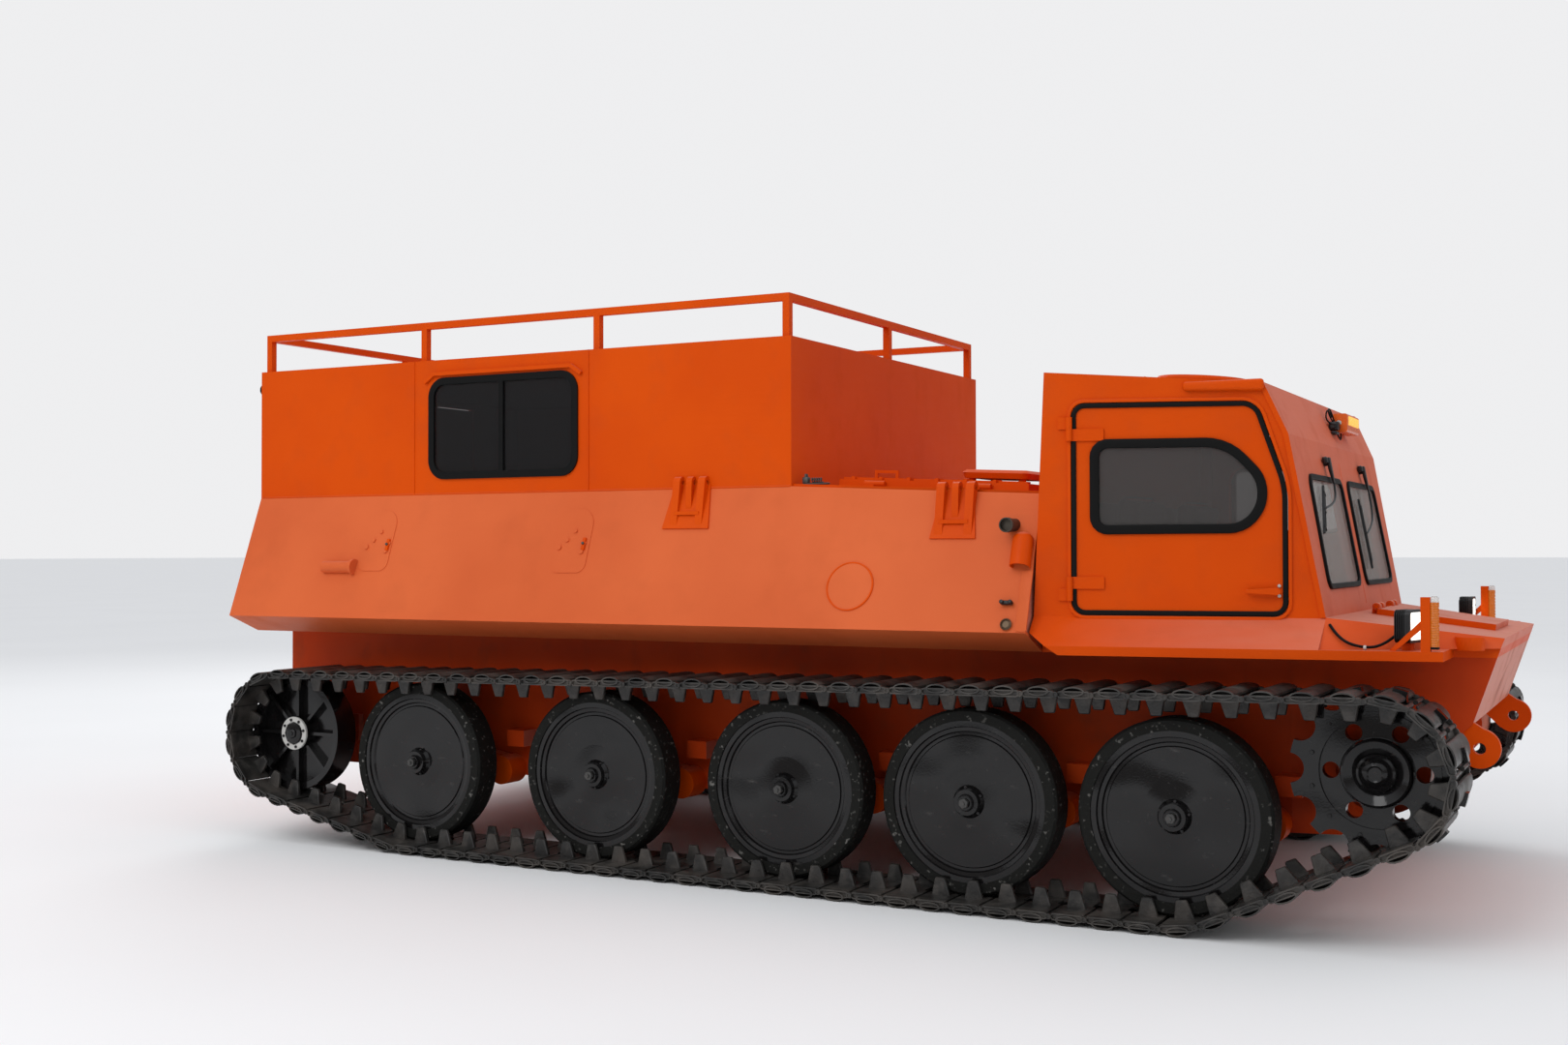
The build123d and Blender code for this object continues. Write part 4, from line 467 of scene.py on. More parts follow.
def scaled_faces(thing, wanted, share):
    """Draws the wanted faces together about their middle."""
    with shaping(thing):
        take(thing, "FACE", wanted)
        ops.transform.resize(value=share)
    return thing


def facing(axis, sign=1):
    return lambda face: face.normal["XYZ".index(axis)] * sign > 0.9


def long_in(axis, least):
    """Picks the edges that run along an axis by more than a length in metres."""
    number = "XYZ".index(axis)
    return lambda edge: abs(edge.verts[0].co[number] - edge.verts[1].co[number]) > least


def plate(corners, thickness, radius=0):
    """A flat plate from its corners, drawn in X and Y, its back on Z = 0."""
    ops.object.select_all(action="DESELECT")
    ops.mesh.primitive_circle_add(vertices=len(corners), radius=1, fill_type="NGON")
    thing = bpy.context.object
    for number, (x, y) in enumerate(corners):
        with shaping(thing):
            take(thing, "VERT", lambda vertex: vertex.index == number)
            there = bmesh.from_edit_mesh(thing.data)
            there.verts.ensure_lookup_table()
            step = Vector((x, y, 0)) / 1000 - there.verts[number].co
            ops.transform.translate(value=step)
    with shaping(thing):
        if radius:
            ops.mesh.select_all(action="SELECT")
            ops.mesh.bevel(offset=radius / 1000, segments=ARC_STEPS, affect="VERTICES")
        ops.mesh.select_all(action="SELECT")
        ops.mesh.normals_make_consistent(inside=False)
        take(thing, "FACE", lambda face: True)
        ops.mesh.extrude_region_move(TRANSFORM_OT_translate={"value": (0, 0, thickness / 1000)})
        ops.mesh.select_all(action="SELECT")
        ops.mesh.normals_make_consistent(inside=False)
    return thing


def ring_plate(corners, thickness, radius, width):
    """A flat band that follows an outline: a plate with its middle taken out."""
    thing = plate(corners, thickness, radius)
    with shaping(thing):
        take(thing, "FACE", lambda face: abs(face.normal.z) > 0.9)
        ops.mesh.inset(thickness=width / 1000, use_individual=True)
        ops.mesh.bridge_edge_loops()
        ops.mesh.select_all(action="SELECT")
        ops.mesh.normals_make_consistent(inside=False)
    return thing


def with_arcs(corners):
    """An outline whose corners, each an x, a y and a radius, are taken off by arcs."""
    count = len(corners)
    outline = []
    for number, (x, y, radius) in enumerate(corners):
        spot = Vector((x, y))
        before = (Vector(corners[number - 1][:2]) - spot).normalized()
        after = (Vector(corners[(number + 1) % count][:2]) - spot).normalized()
        half = before.angle(after) / 2
        middle_way = (before + after).normalized()
        centre = spot + middle_way * (radius / sin(half))
        first = (before * (radius / tan(half)) + spot) - centre
        last = (after * (radius / tan(half)) + spot) - centre
        for step in range(ARC_STEPS + 1):
            share = step / ARC_STEPS
            ray = (first * (1 - share) + last * share).normalized() * radius
            outline.append(tuple(centre + ray))
    return outline


def joined(*things):
    ops.object.select_all(action="DESELECT")
    for thing in things:
        thing.select_set(True)
    bpy.context.view_layer.objects.active = things[0]
    ops.object.join()
    return things[0]


def copied(thing, lay):
    """A copy with its own mesh, laid by a matrix."""
    twin = thing.copy()
    twin.data = thing.data.copy()
    bpy.context.collection.objects.link(twin)
    return laid(twin, lay)


def laid(thing, lay):
    thing.data.transform(lay)
    if lay.determinant() < 0:
        thing.data.flip_normals()
    return thing


def shifted(x, y, z):
    return Matrix.Translation(Vector((x, y, z)) / 1000)


def framed(origin, across, upward):
    """A lay for things drawn flat: X runs across, Y upward, and Z out of the face."""
    outward = Vector(across).cross(Vector(upward))
    lay = Matrix((across, upward, outward)).transposed().to_4x4()
    lay.translation = Vector(origin) / 1000
    return lay


def painted(thing, finish):
    thing.data.materials.clear()
    thing.data.materials.append(finish)
    return thing


def wire(points, radius, finish, closed=False):
    """A bent rod or thin lead through its corners."""
    ops.object.select_all(action="DESELECT")
    ops.curve.primitive_nurbs_path_add()
    lead = bpy.context.object
    line = lead.data.splines[0]
    line.points.add(max(0, len(points) - len(line.points)))
    for number, point in enumerate(line.points):
        spot = points[min(number, len(points) - 1)]
        point.co = (*(Vector(spot) / 1000), 1)
    lead.data.bevel_depth = radius / 1000
    lead.data.bevel_resolution = 2
    lead.data.use_fill_caps = True
    line.order_u = CURVE_ORDER
    line.use_endpoint_u = True
    line.use_cyclic_u = closed
    line.resolution_u = 6
    ops.object.convert(target="MESH")
    return painted(bpy.context.object, finish)


def finished(thing, name, body="hull", instead=(), smooth=32):
    """Names a piece, moves it with the CAD's origin, smooths it and sets what it rides on."""
    thing.name = thing.data.name = name
    laid(thing, shifted(1000 * AMIDSHIPS, 0, 0))
    ops.object.select_all(action="DESELECT")
    thing.select_set(True)
    bpy.context.view_layer.objects.active = thing
    ops.object.shade_smooth_by_angle(angle=radians(smooth))
    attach(thing, body)
    if instead:
        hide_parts(*instead)
    return thing


both = Matrix.Diagonal((1, -1, 1, 1))


def with_mirror(thing):
    """The thing and its mirror image over the middle of the vehicle, as one."""
    return joined(thing, copied(thing, both))


def finished_pair(thing, name, body, instead=None):
    """The thing on the right-hand body, and its mirror image on the left-hand one."""
    other = copied(thing, both)
    for one, side in ((thing, "right"), (other, "left")):
        stands_for = (f"{instead}_{side}",) if instead else ()
        finished(one, f"{name}_{side}", f"{body}_{side}", stands_for)


# Tracks: one shoe with its hollow rib, edge bars, pin ends and pair of guide horns, carried
# round the belt's circles, each as along, up and radius
BELT = ((WHEELS[0], WHEEL_HEIGHT, 351.3), (WHEELS[-1], WHEEL_HEIGHT, 351.3),
        (SPROCKET_X, SPROCKET_Z, 243), (IDLER_X, IDLER_Z, 269.3))


def belt_places():
    """Places of the shoes along the belt round its circles: x, z and outward angle."""
    runs = []
    for number, (x1, z1, r1) in enumerate(BELT):
        x2, z2, r2 = BELT[(number + 1) % len(BELT)]
        length = hypot(x2 - x1, z2 - z1)
        lean = (r1 - r2) / length
        normal = atan2(z2 - z1, x2 - x1) - atan2((1 - lean**2) ** 0.5, lean)
        runs.append((x1, z1, r1, normal, length * (1 - lean**2) ** 0.5))
    legs = []
    for number, (x, z, r, normal, straight) in enumerate(runs):
        before = runs[number - 1][3]
        turn = (normal - before) % (2 * pi)
        legs.append((x, z, r, before, r * turn, True))
        legs.append((x, z, r, normal, straight, False))
    pitch = sum(leg[4] for leg in legs) / SHOES
    places = []
    for number in range(SHOES):
        left = pitch * number
        for x, z, r, angle, length, bends in legs:
            if left <= length:
                break
            left -= length
        if bends:
            angle, left = angle + left / r, 0
        places.append((x + r * cos(angle) - left * sin(angle),
                       z + r * sin(angle) + left * cos(angle), angle))
    return places


def edge_of(reach):
    return lambda face: abs(face.normal.x) > 0.9 and abs(middle(face).y) < reach


def track_shoe():
    pan = block((0, 0, -10), (114, TRACK_WIDTH - 30, 9))
    sliced(pan, "Y", (-46, -36, 36, 46))
    scaled_faces(pan, edge_of(30), (0.72, 1, 1))
    rounded(pan, 2, 1, lambda edge: abs(middle(edge).z + 5.5) < 1 and len(edge.link_faces) == 2
            and any(abs(face.normal.x) > 0.5 for face in edge.link_faces))
    rib = drum((0, 0, 0), 1000, TRACK_WIDTH, "Y", 14)
    laid(rib, Matrix.LocRotScale(Vector((0, 0, 0.0085)), None, Vector((0.040, 1, 0.017))))
    stepped(rib, lambda face: abs(face.normal.y) > 0.9, 5, -50)
    pieces = [pan, rib]
    for side in (1, -1):
        bar = block((0, side * (TRACK_WIDTH / 2 - 10), -2), (116, 18, 25))
        rounded(bar, 10, 2, long_in("Y", 0.01))
        stepped(bar, facing("Y", side), 5, -7)
        pieces.append(bar)
        for reach, length in ((TRACK_WIDTH / 2 - 4, 16), (114, 132)):
            pin = drum((63.2, side * reach, -2), 10 if length < 20 else 8, length, "Y", 10)
            if length < 20:
                stepped(pin, facing("Y", side), 3, -3)
            pieces.append(pin)
        horn = block((0, side * 81, -44), (70, 20, 64))
        scaled_faces(horn, facing("Z", -1), (0.52, 0.8, 1))
        with shaping(horn):
            take(horn, "FACE", facing("Z", -1))
            ops.transform.translate(value=(0.004, 0, 0))
        rounded(horn, 3, 1, lambda edge: middle(edge).z < -20)
        pieces.append(horn)
    return painted(joined(*pieces), steel)


shoe = track_shoe()
for side, name in ((-1, "right"), (1, "left")):
    shoes = []
    for x, z, angle in belt_places():
        lay = shifted(x, side * TRACK_MIDDLE, z) @ Matrix.Rotation(pi / 2 - angle, 4, "Y")
        shoes.append(copied(shoe, lay))
    finished(joined(*shoes), f"track_shoes_{name}", instead=(f"track_{name}",), smooth=40)
bpy.data.objects.remove(shoe)


# Road wheels: a hex nut on its washer at each hub, and small bolts about it
HUB_FACE = TRACK_MIDDLE + 90


def hex_nut(spot, radius, height, finish, turn=0):
    nut = drum((0, 0, 0), radius, height, "Y", 6)
    rounded(nut, radius * 0.12, 1)
    stepped(nut, lambda face: face.normal.y < -0.9, radius * 0.4, height / 3)
    return painted(laid(nut, shifted(*spot) @ Matrix.Rotation(turn, 4, "Y")), finish)


def washer(spot, radius, height, finish):
    ring = drum(spot, radius, height, "Y", 28)
    rounded(ring, height * 0.3, 1)
    return painted(stepped(ring, facing("Y", -1), radius * 0.3, -height * 0.2), finish)


nuts = []
for number, x in enumerate(WHEELS):
    nuts.append(washer((x, -HUB_FACE - 1.5, WHEEL_HEIGHT), 27, 4, black))
    nuts.append(hex_nut((x, -HUB_FACE - 11, WHEEL_HEIGHT), 19, 17, worn_metal, 0.4 * number))
    for step in range(5):
        angle = 2 * pi * step / 5 + number
        spot = (x + 54 * cos(angle), -HUB_FACE + 31, WHEEL_HEIGHT + 54 * sin(angle))
        nuts.append(hex_nut(spot, 6, 6, black, angle))
finished(with_mirror(joined(*nuts)), "wheel_nuts")


def bolt_ring(x, y, z, radius, count, share, size):
    """Bolts in a ring round an axle, the first one set on by a share of their pitch."""
    ring = []
    for step in range(count):
        angle = 2 * pi * (step + share) / count
        spot = (x + radius * cos(angle), y, z + radius * sin(angle))
        ring.append(hex_nut(spot, size, 6, black, angle))
    return ring


# Sprocket: a ring of bolts behind the teeth
bolts = bolt_ring(SPROCKET_X, -TRACK_MIDDLE - 22, SPROCKET_Z, 212, 12, 0.5, 8)
finished(with_mirror(joined(*bolts)), "sprocket_bolts")

# Sprocket hub: a raised ring, a dish inside it and a stepped cap, as how far out and slimmer
dish = drum((SPROCKET_X, -TRACK_MIDDLE - 31, SPROCKET_Z), 114, 22, "Y", 48)
drawn_out(dish, facing("Y", -1), (0, -12, 0, 0.956), (0, -4, 0, 0.945), (0, 5, 0, 0.922),
          (0, 16, 0, 0.684), (0, -18, 0, 0.938), (0, -5, 0, 0.869), (0, 5, 0, 0.906),
          (0, -6, 0, 0.896), (0, -5, 0, 0.814), (0, -5, 0, 0.771), (0, 4, 0, 0.778))
finished(with_mirror(painted(dish, black)), "sprocket_hub_dishes")


# Idler: a pale ring round the hub with its bolts
hub_ring = painted(drum((IDLER_X, -TRACK_MIDDLE - 61, IDLER_Z), 74, 9, "Y", 40), pale_paint)
stepped(hub_ring, facing("Y", -1), 3, 1)
stepped(hub_ring, lambda face: face.normal.y < -0.9 and len(face.verts) > 4, 20, -5)
bolts = [hub_ring, *bolt_ring(IDLER_X, -TRACK_MIDDLE - 69, IDLER_Z, 61, 8, 0.3, 7)]
boss = drum((IDLER_X, -TRACK_MIDDLE - 65, IDLER_Z), 47, 16, "Y", 32)
bolts.append(painted(rounded(boss, 4, 2), black))
bolts.append(hex_nut((IDLER_X, -TRACK_MIDDLE - 76, IDLER_Z), 24, 12, black, 0.2))
finished(with_mirror(joined(*bolts)), "idler_hub_rings")


# Cab wall: X forward along the wall from its rear edge, Y up, Z outward on the right
WALL_LEAN = atan2(CAB_REAR_Y - CAB_FRONT_Y, CAB_FRONT_X - CAB_REAR_X)
wall = framed((CAB_REAR_X, -CAB_REAR_Y, 0), (cos(WALL_LEAN), sin(WALL_LEAN), 0), (0, 0, 1))

# Cab doors: a rubber bead round the edge, a proud lip outside it, and rivets at the grip
DOOR = ((136, 1057), (866, 1057), (866, 1502), (767, 1796), (136, 1802))


def outset(corners, growth):
    """Corners moved outward from the outline's middle line by a growth."""
    count = len(corners)
    moved = []
    for number, (x, y) in enumerate(corners):
        before, after = corners[number - 1], corners[(number + 1) % count]
        first = Vector((x - before[0], y - before[1])).normalized()
        second = Vector((after[0] - x, after[1] - y)).normalized()
        out = Vector((first.y + second.y, -first.x - second.x))
        out = out / (1 + first.dot(second))
        moved.append((x + growth * out.x, y + growth * out.y))
    return moved


bead = painted(ring_plate(outset(DOOR, 1), 8, 46, 17), seal)
rounded(bead, 3, 2, lambda edge: middle(edge).z > 7)
finished_pair(laid(bead, wall @ shifted(0, 0, -0.5)), "door_bead", "cab_door")
lip = painted(ring_plate(outset(DOOR, 15), 9, 58, 12), orange)
rounded(lip, 2, 2, lambda edge: middle(edge).z > 8)
finished(with_mirror(laid(lip, wall @ shifted(0, 0, -0.5))), "door_opening_lips")

# Door windows, as corners along the wall, up, and their radii
WINDOW = ((214, 1354, 46), (730, 1356, 108), (786, 1440, 118), (786, 1530, 120),
          (668, 1658, 170), (214, 1660, 46))
ring = ring_plate(outset(with_arcs(WINDOW), 15), 11, 0, 33)
rounded(ring, 4, 3, lambda edge: middle(edge).z > 10)
ring = laid(painted(ring, seal), wall @ shifted(0, 0, -0.5))
finished_pair(ring, "door_window_seal", "cab_door", instead="cab_door_gasket")

rivets = []
for z in (1126, 1160):
    rivet = drum((838, z, 4), 6, 8, "Z", 14)
    rounded(rivet, 3, 3, lambda edge: middle(edge).z > 7)
    rivets.append(painted(rivet, pale_paint))
finished_pair(laid(joined(*rivets), wall), "handle_rivets", "cab_door")


# Screen plate: X to the left, Y up the plate, Z out of it
SCREEN_LEAN = atan2(SCREEN_FOOT_X - SCREEN_HEAD_X, SCREEN_HEAD_Z - SCREEN_FOOT_Z)
screen = framed((SCREEN_FOOT_X, 0, SCREEN_FOOT_Z), (0, 1, 0),
                (-sin(SCREEN_LEAN), 0, cos(SCREEN_LEAN)))

# Wipers: a pivot with a stub, a thick arm that thins to a rod, and a double blade
WIPERS = (
    # pivot, end of the thick arm, the rod's corners, blade's top and foot
    ((-330, 567), (-312, 480), ((-312, 484), (-322, 430), (-430, 400), (-560, 384)),
     (-486, 470), (-640, 292)),
    ((440, 567), (462, 470), ((462, 474), (462, 420), (420, 350), (246, 300)),
     (236, 440), (246, 156)),
)
wiper_parts = []
for pivot, bend, rod, top, foot in WIPERS:
    for radius, height in ((18, 14), (12, 26)):
        boss = drum((*pivot, height / 2), radius, height, "Z", 20)
        wiper_parts.append(rounded(boss, 2.5, 2, lambda edge: middle(edge).z > height - 1))
    stub = block((pivot[0] - 22, pivot[1] + 2, 13), (44, 22, 18))
    wiper_parts.append(rounded(stub, 4, 2))
    arm = block((pivot[0], pivot[1] - 8, 20), (30, 40, 12))
    fall = pivot[1] - 28 - bend[1]
    drift = bend[0] - pivot[0]
    drawn_out(arm, facing("Y", -1), (drift * 0.5, -fall * 0.5, 0, 0.82),
              (drift * 0.5, -fall * 0.5, 0, 0.62))
    wiper_parts.append(rounded(arm, 2, 2))
    wiper_parts.append(wire([(x, y, 20) for x, y in rod] + [(rod[-1][0], rod[-1][1], 12)],
                            4.2, dark_plastic))
    lean = atan2(foot[0] - top[0], top[1] - foot[1])
    length = hypot(foot[0] - top[0], foot[1] - top[1])
    centre = ((top[0] + foot[0]) / 2, (top[1] + foot[1]) / 2, 0)
    blade_lay = shifted(*centre) @ Matrix.Rotation(lean, 4, "Z")
    for aside, width, share in ((0, 8, 1), (16, 4, 0.82)):
        blade = block((aside, 0, 9), (width, length * share, 9))
        scaled_faces(blade, facing("Z"), (0.5, 0.985, 1))
        rounded(blade, 0.8, 1)
        wiper_parts.append(laid(blade, blade_lay))
        if aside:
            for share in (-0.36, 0, 0.36):
                clip = rounded(block((8, share * length, 12), (24, 9, 6)), 1.2, 1)
                wiper_parts.append(laid(clip, blade_lay))
wipers = laid(painted(joined(*wiper_parts), dark_plastic), screen)
finished(wipers, "wiper_sweeps", instead=("wipers",))

# Drip beads over the doors: full in front, tapered to the rear
drip = block((656, 1852, 11), (272, 42, 30))
scaled_faces(drip, facing("X", -1), (1, 0.75, 0.75))
rounded(drip, 12, 5)
finished(with_mirror(painted(laid(drip, wall), orange)), "drip_beads")


# Screen seals: a slim rubber round each pane, its inner edge rolled
seals = []
for side in (1, -1):
    pane = [(side * x, y) for x, y in ((78, 108), (706, 108), (684, 494), (78, 494))]
    if side < 0:
        pane.reverse()
    ring = ring_plate(outset(pane, 15), 10, 52, 20)
    seals.append(rounded(ring, 3.5, 3, lambda edge: middle(edge).z > 9))
seals = laid(painted(joined(*seals), seal), screen)
finished(seals, "screen_seals", instead=("windscreen_gaskets",))

# A soft fold down the middle of the screen plate
crease = block((0, 300, 0), (14, 560, 4))
scaled_faces(crease, facing("Z"), (0.25, 0.97, 1))
finished(painted(laid(rounded(crease, 0.8, 2), screen), front_sheen_orange), "screen_fold")


# Lamp bar: a case with lit flutes, a round bolt at each end, a clamp and loops of thin lead
BAR_X, BAR_Y, BAR_Z = 2008, 251, 1786.5
BAR_LENGTH = 272
case = block((BAR_X, BAR_Y, BAR_Z), (56, BAR_LENGTH, 73))
rounded(case, 9, 3, long_in("Y", 0.1))
painted(case, amber_case)
bar_parts = [case]
for step in range(9):
    flute = block((2037, 150 + 26 * step, 1796), (5, 9, 38))
    scaled_faces(flute, facing("X"), (1, 0.7, 0.9))
    bar_parts.append(painted(rounded(flute, 1, 1), lit_amber))
for sign in (-1, 1):
    screw = drum((BAR_X - 4, BAR_Y + sign * (BAR_LENGTH / 2 + 1), BAR_Z), 10, 6, "Y", 20)
    bar_parts.append(painted(stepped(screw, facing("Y", sign), 3, 1.5), pale_paint))
clamp = rounded(block((1992, 84, 1772), (38, 46, 34)), 6, 2)
bar_parts.append(painted(stepped(clamp, facing("Y", -1), 7, 8), dark_plastic))
foot = rounded(block((1996, 80, 1744), (22, 60, 14)), 4, 2)
bar_parts.append(painted(foot, dark_plastic))
for lead in (
        ((1990, 70, 1786), (1982, 40, 1806), (1972, 58, 1838), (1976, 92, 1840), (1990, 96, 1790)),
        ((1988, 62, 1776), (1970, 30, 1790), (1972, 20, 1822), (1976, 48, 1836), (1984, 76, 1806)),
        ((2002, 66, 1746), (2012, 84, 1722), (2012, 110, 1716), (2008, 136, 1744))):
    bar_parts.append(wire(lead, 3, seal))
finished(joined(*bar_parts), "light_bar_lamp", instead=("light_bar",))


# Headlamps: a finned body with a lit face behind a bezel, set on its bracket
LAMP_Y, LAMP_Z = -869, 1030
LAMP_PIVOT_X = 2390
NEAR_LAMP_TURN = radians(-14)
body = block((2383, LAMP_Y, LAMP_Z), (38, 120, 106))
rounded(body, 16, 3, long_in("X", 0.02))
scaled_faces(body, facing("X", -1), (1, 0.8, 0.8))
lamps = [painted(body, dark_plastic)]
for step in range(5):
    fin = block((2369 + step * 7, LAMP_Y, LAMP_Z), (2.6, 123, 109))
    lamps.append(painted(rounded(fin, 17, 3, long_in("X", 0.001)), dark_plastic))
bezel = rounded(block((2411, LAMP_Y, LAMP_Z), (18, 124, 110)), 17, 4, long_in("X", 0.01))
lamps.append(painted(stepped(bezel, facing("X"), 9, -6), dark_plastic))
face = rounded(block((2413, LAMP_Y, LAMP_Z), (8, 108, 94)), 13, 4, long_in("X", 0.004))
sliced(face, "Y", (LAMP_Y - 27, LAMP_Y, LAMP_Y + 27))
sliced(face, "Z", (LAMP_Z - 18, LAMP_Z + 18))
stepped(face, facing("X"), 2.5, 2.5, each=True)
lamps.append(painted(face, lit_white))
lamp = joined(*lamps)
lamps = [copied(lamp, both)]
lamps.append(laid(lamp, shifted(LAMP_PIVOT_X, LAMP_Y, 0)
                  @ Matrix.Rotation(NEAR_LAMP_TURN, 4, "Z")
                  @ shifted(-LAMP_PIVOT_X, -LAMP_Y, 0)))
gland = drum((2360, -876, 1003), 9, 20, "X", 18)
rounded(gland, 2, 1)
lamps.append(with_mirror(painted(stepped(gland, facing("X", -1), 3, -3), dark_plastic)))
finished(joined(*lamps), "headlamp_bodies", instead=("headlamps",))

# Marker lamps: a tall lit strip with a clear cap by each front post, a lamp low on each
# rear corner, and a small round one at the top of it
MARKER_X, MARKER_Y = 2482, -940
markers = []
strip = block((MARKER_X, MARKER_Y, 1036), (24, 26, 152))
rounded(strip, 5, 3, long_in("Z", 0.1))
sliced(strip, "Z", range(976, 1106, 13))
stepped(strip, facing("X"), 1.5, -1.5, each=True)
markers.append(painted(strip, amber))
cap = block((MARKER_X, MARKER_Y, 1119), (26, 28, 20))
rounded(cap, 5, 3)
markers.append(painted(stepped(cap, facing("Z"), 5, -2), clear_lens))
base = rounded(block((MARKER_X, MARKER_Y, 962), (28, 30, 8)), 2, 1)
markers.append(painted(base, seal))
rear = rounded(block((-2694, -900, 1455), (24, 90, 150)), 7, 3)
sliced(rear, "Z", (1430, 1480))
stepped(rear, lambda face: face.normal.x < -0.9 and len(face.verts) >= 4, 5, 3, each=True)
markers.append(painted(rear, red_lens))
bezel = painted(rounded(drum((-2689, -950, 2046), 25, 14, "X", 24), 3, 2), seal)
markers.append(stepped(bezel, facing("X", -1), 5, -3))
dome = drum((-2698, -950, 2046), 20, 10, "X", 24)
markers.append(painted(rounded(dome, 4, 3, lambda edge: middle(edge).x < -2702), amber))
finished(with_mirror(joined(*markers)), "marker_lenses", instead=("marker_lamps",))


# Cushions, blown up by cloth simulation from slightly smaller blocks
PAD_GRID = 0.011
PAD_PRESSURE = 4
PAD_FRAMES = 20
SEAT_Y, BENCH_Y = 430, 730


def cushion(size, swell):
    """A crowned cushion round the origin, its faces filled out by at most the swell."""
    pad = rounded(block((0, 0, 0), [side - swell for side in size]), 16, 3)
    pad.data.remesh_voxel_size = PAD_GRID
    ops.object.voxel_remesh()
    before = [vertex.co.copy() for vertex in pad.data.vertices]
    ops.object.modifier_add(type="CLOTH")
    filling = pad.modifiers[-1].settings
    filling.use_pressure = True
    filling.uniform_pressure_force = PAD_PRESSURE
    filling.effector_weights.gravity = 0
    for frame_number in range(1, PAD_FRAMES + 1):
        bpy.context.scene.frame_set(frame_number)
    ops.object.modifier_apply(modifier=pad.modifiers[-1].name)
    for vertex, start in zip(pad.data.vertices, before):
        move = vertex.co - start
        vertex.co = start + move * min(1, swell / 2000 / max(move.length, 1e-9))
    return pad


def piped(pad, size, height):
    """A pad with a sewn cord run round its sides at a height."""
    x, y = size[0] / 2 - 1, size[1] / 2 - 1
    round_it = [(x, y - 40), (x, 40 - y), (x - 12, -y + 10), (x - 40, -y), (40 - x, -y),
                (12 - x, -y + 10), (-x, 40 - y), (-x, y - 40), (12 - x, y - 10), (40 - x, y),
                (x - 40, y), (x - 12, y - 10)]
    cord = wire([(a, b, height) for a, b in round_it], 3.2, cloth, closed=True)
    return joined(painted(pad, cloth), cord)


seat_size = (350, 452, 118)
back_size = (430, 430, 92)
bench_size = (780, 412, 92)
seat_pad = piped(cushion(seat_size, 14), seat_size, 30)
back_pad = piped(cushion(back_size, 14), back_size, 16)
bench_pad = piped(cushion(bench_size, 12), bench_size, 16)
stand_up = Matrix.Rotation(-radians(80), 4, "Y")
pads = []
for side, name in ((-1, "right"), (1, "left")):
    pads.append((seat_pad, shifted(1568, side * SEAT_Y, 988), f"seat_cushion_{name}"))
    pads.append((back_pad, shifted(1335, side * SEAT_Y, 1272) @ stand_up, f"seat_back_{name}"))
    for number in range(3):
        spot = shifted(-2000 + 800 * number, side * BENCH_Y, 1282)
        pads.append((bench_pad, spot, f"bench_cushion_{name}_{number + 1}"))
for pad, lay, name in pads:
    one = copied(pad, lay)
    finished(one, name, smooth=60)
for pad in (seat_pad, back_pad, bench_pad):
    bpy.data.objects.remove(pad)

# Seat pans and bench boxes under the cushions
frames = []
for y in (-SEAT_Y, SEAT_Y):
    pan = block((1550, y, 780), (400, 400, 280))
    scaled_faces(pan, facing("Z"), (1.04, 1.1, 1))
    stepped(pan, facing("X"), 30, -12)
    frames.append(rounded(pan, 10, 2))
    shell = block((1283, y, 1235), (22, 400, 460))
    with shaping(shell):
        take(shell, "FACE", facing("Z"))
        ops.transform.translate(value=(-0.03, 0, 0))
    frames.append(rounded(shell, 8, 2))
for frame_part in frames:
    painted(frame_part, dark_plastic)
finished(joined(*frames), "seat_frames", instead=("cab_seats",))
boxes = []
for y in (-BENCH_Y, BENCH_Y):
    box = block((-1200, y, 1080), (2390, 400, 300))
    sliced(box, "X", (-2000, -1600, -1200, -800, -400))
    stepped(box, lambda face: abs(face.normal.y) > 0.9, 24, -10, each=True)
    boxes.append(painted(rounded(box, 4, 2), orange))
finished(joined(*boxes), "bench_boxes", instead=("rear_benches",))


# Sloping side: X forward, Y up the slope, Z out of it on the right
SLOPE_LEAN = atan2(SLOPE_FOOT_Y - SLOPE_HEAD_Y, SLOPE_HEAD_Z - SLOPE_FOOT_Z)
slope = framed((0, -SLOPE_FOOT_Y, SLOPE_FOOT_Z), (1, 0, 0),
               (0, sin(SLOPE_LEAN), cos(SLOPE_LEAN)))


def up_slope(z):
    return (z - SLOPE_FOOT_Z) / cos(SLOPE_LEAN)


fittings = []
# A round welded plate, drawn as its raised weld
weld = drum((450, up_slope(1151), 2), 97, 6, "Z", 48)
stepped(weld, facing("Z"), 7, -3)
fittings.append(painted(rounded(weld, 1.5, 1), orange))
# A small catch, and a drain plug below it
catch = rounded(block((1082, up_slope(1094), 12), (44, 15, 18)), 4, 2)
fittings.append(painted(catch, dark_plastic))
for x in (1066, 1098):
    knob = rounded(drum((x, up_slope(1094), 18), 8, 22, "Z", 16), 3, 2)
    fittings.append(painted(knob, dark_plastic))
collar = rounded(drum((1087, up_slope(1020), 5), 19, 12, "Z", 24), 3, 2)
fittings.append(painted(stepped(collar, facing("Z"), 5, -6), brass))
# A weld down the cab's rear edge, closing the joint with the slope
joint = plate(((1122, 4), (1163, 4), (1163, 232), (1122, 232)), 5, 6)
fittings.append(painted(rounded(joint, 1.5, 2, lambda edge: middle(edge).z > 4), faded_sheen_slope_orange))
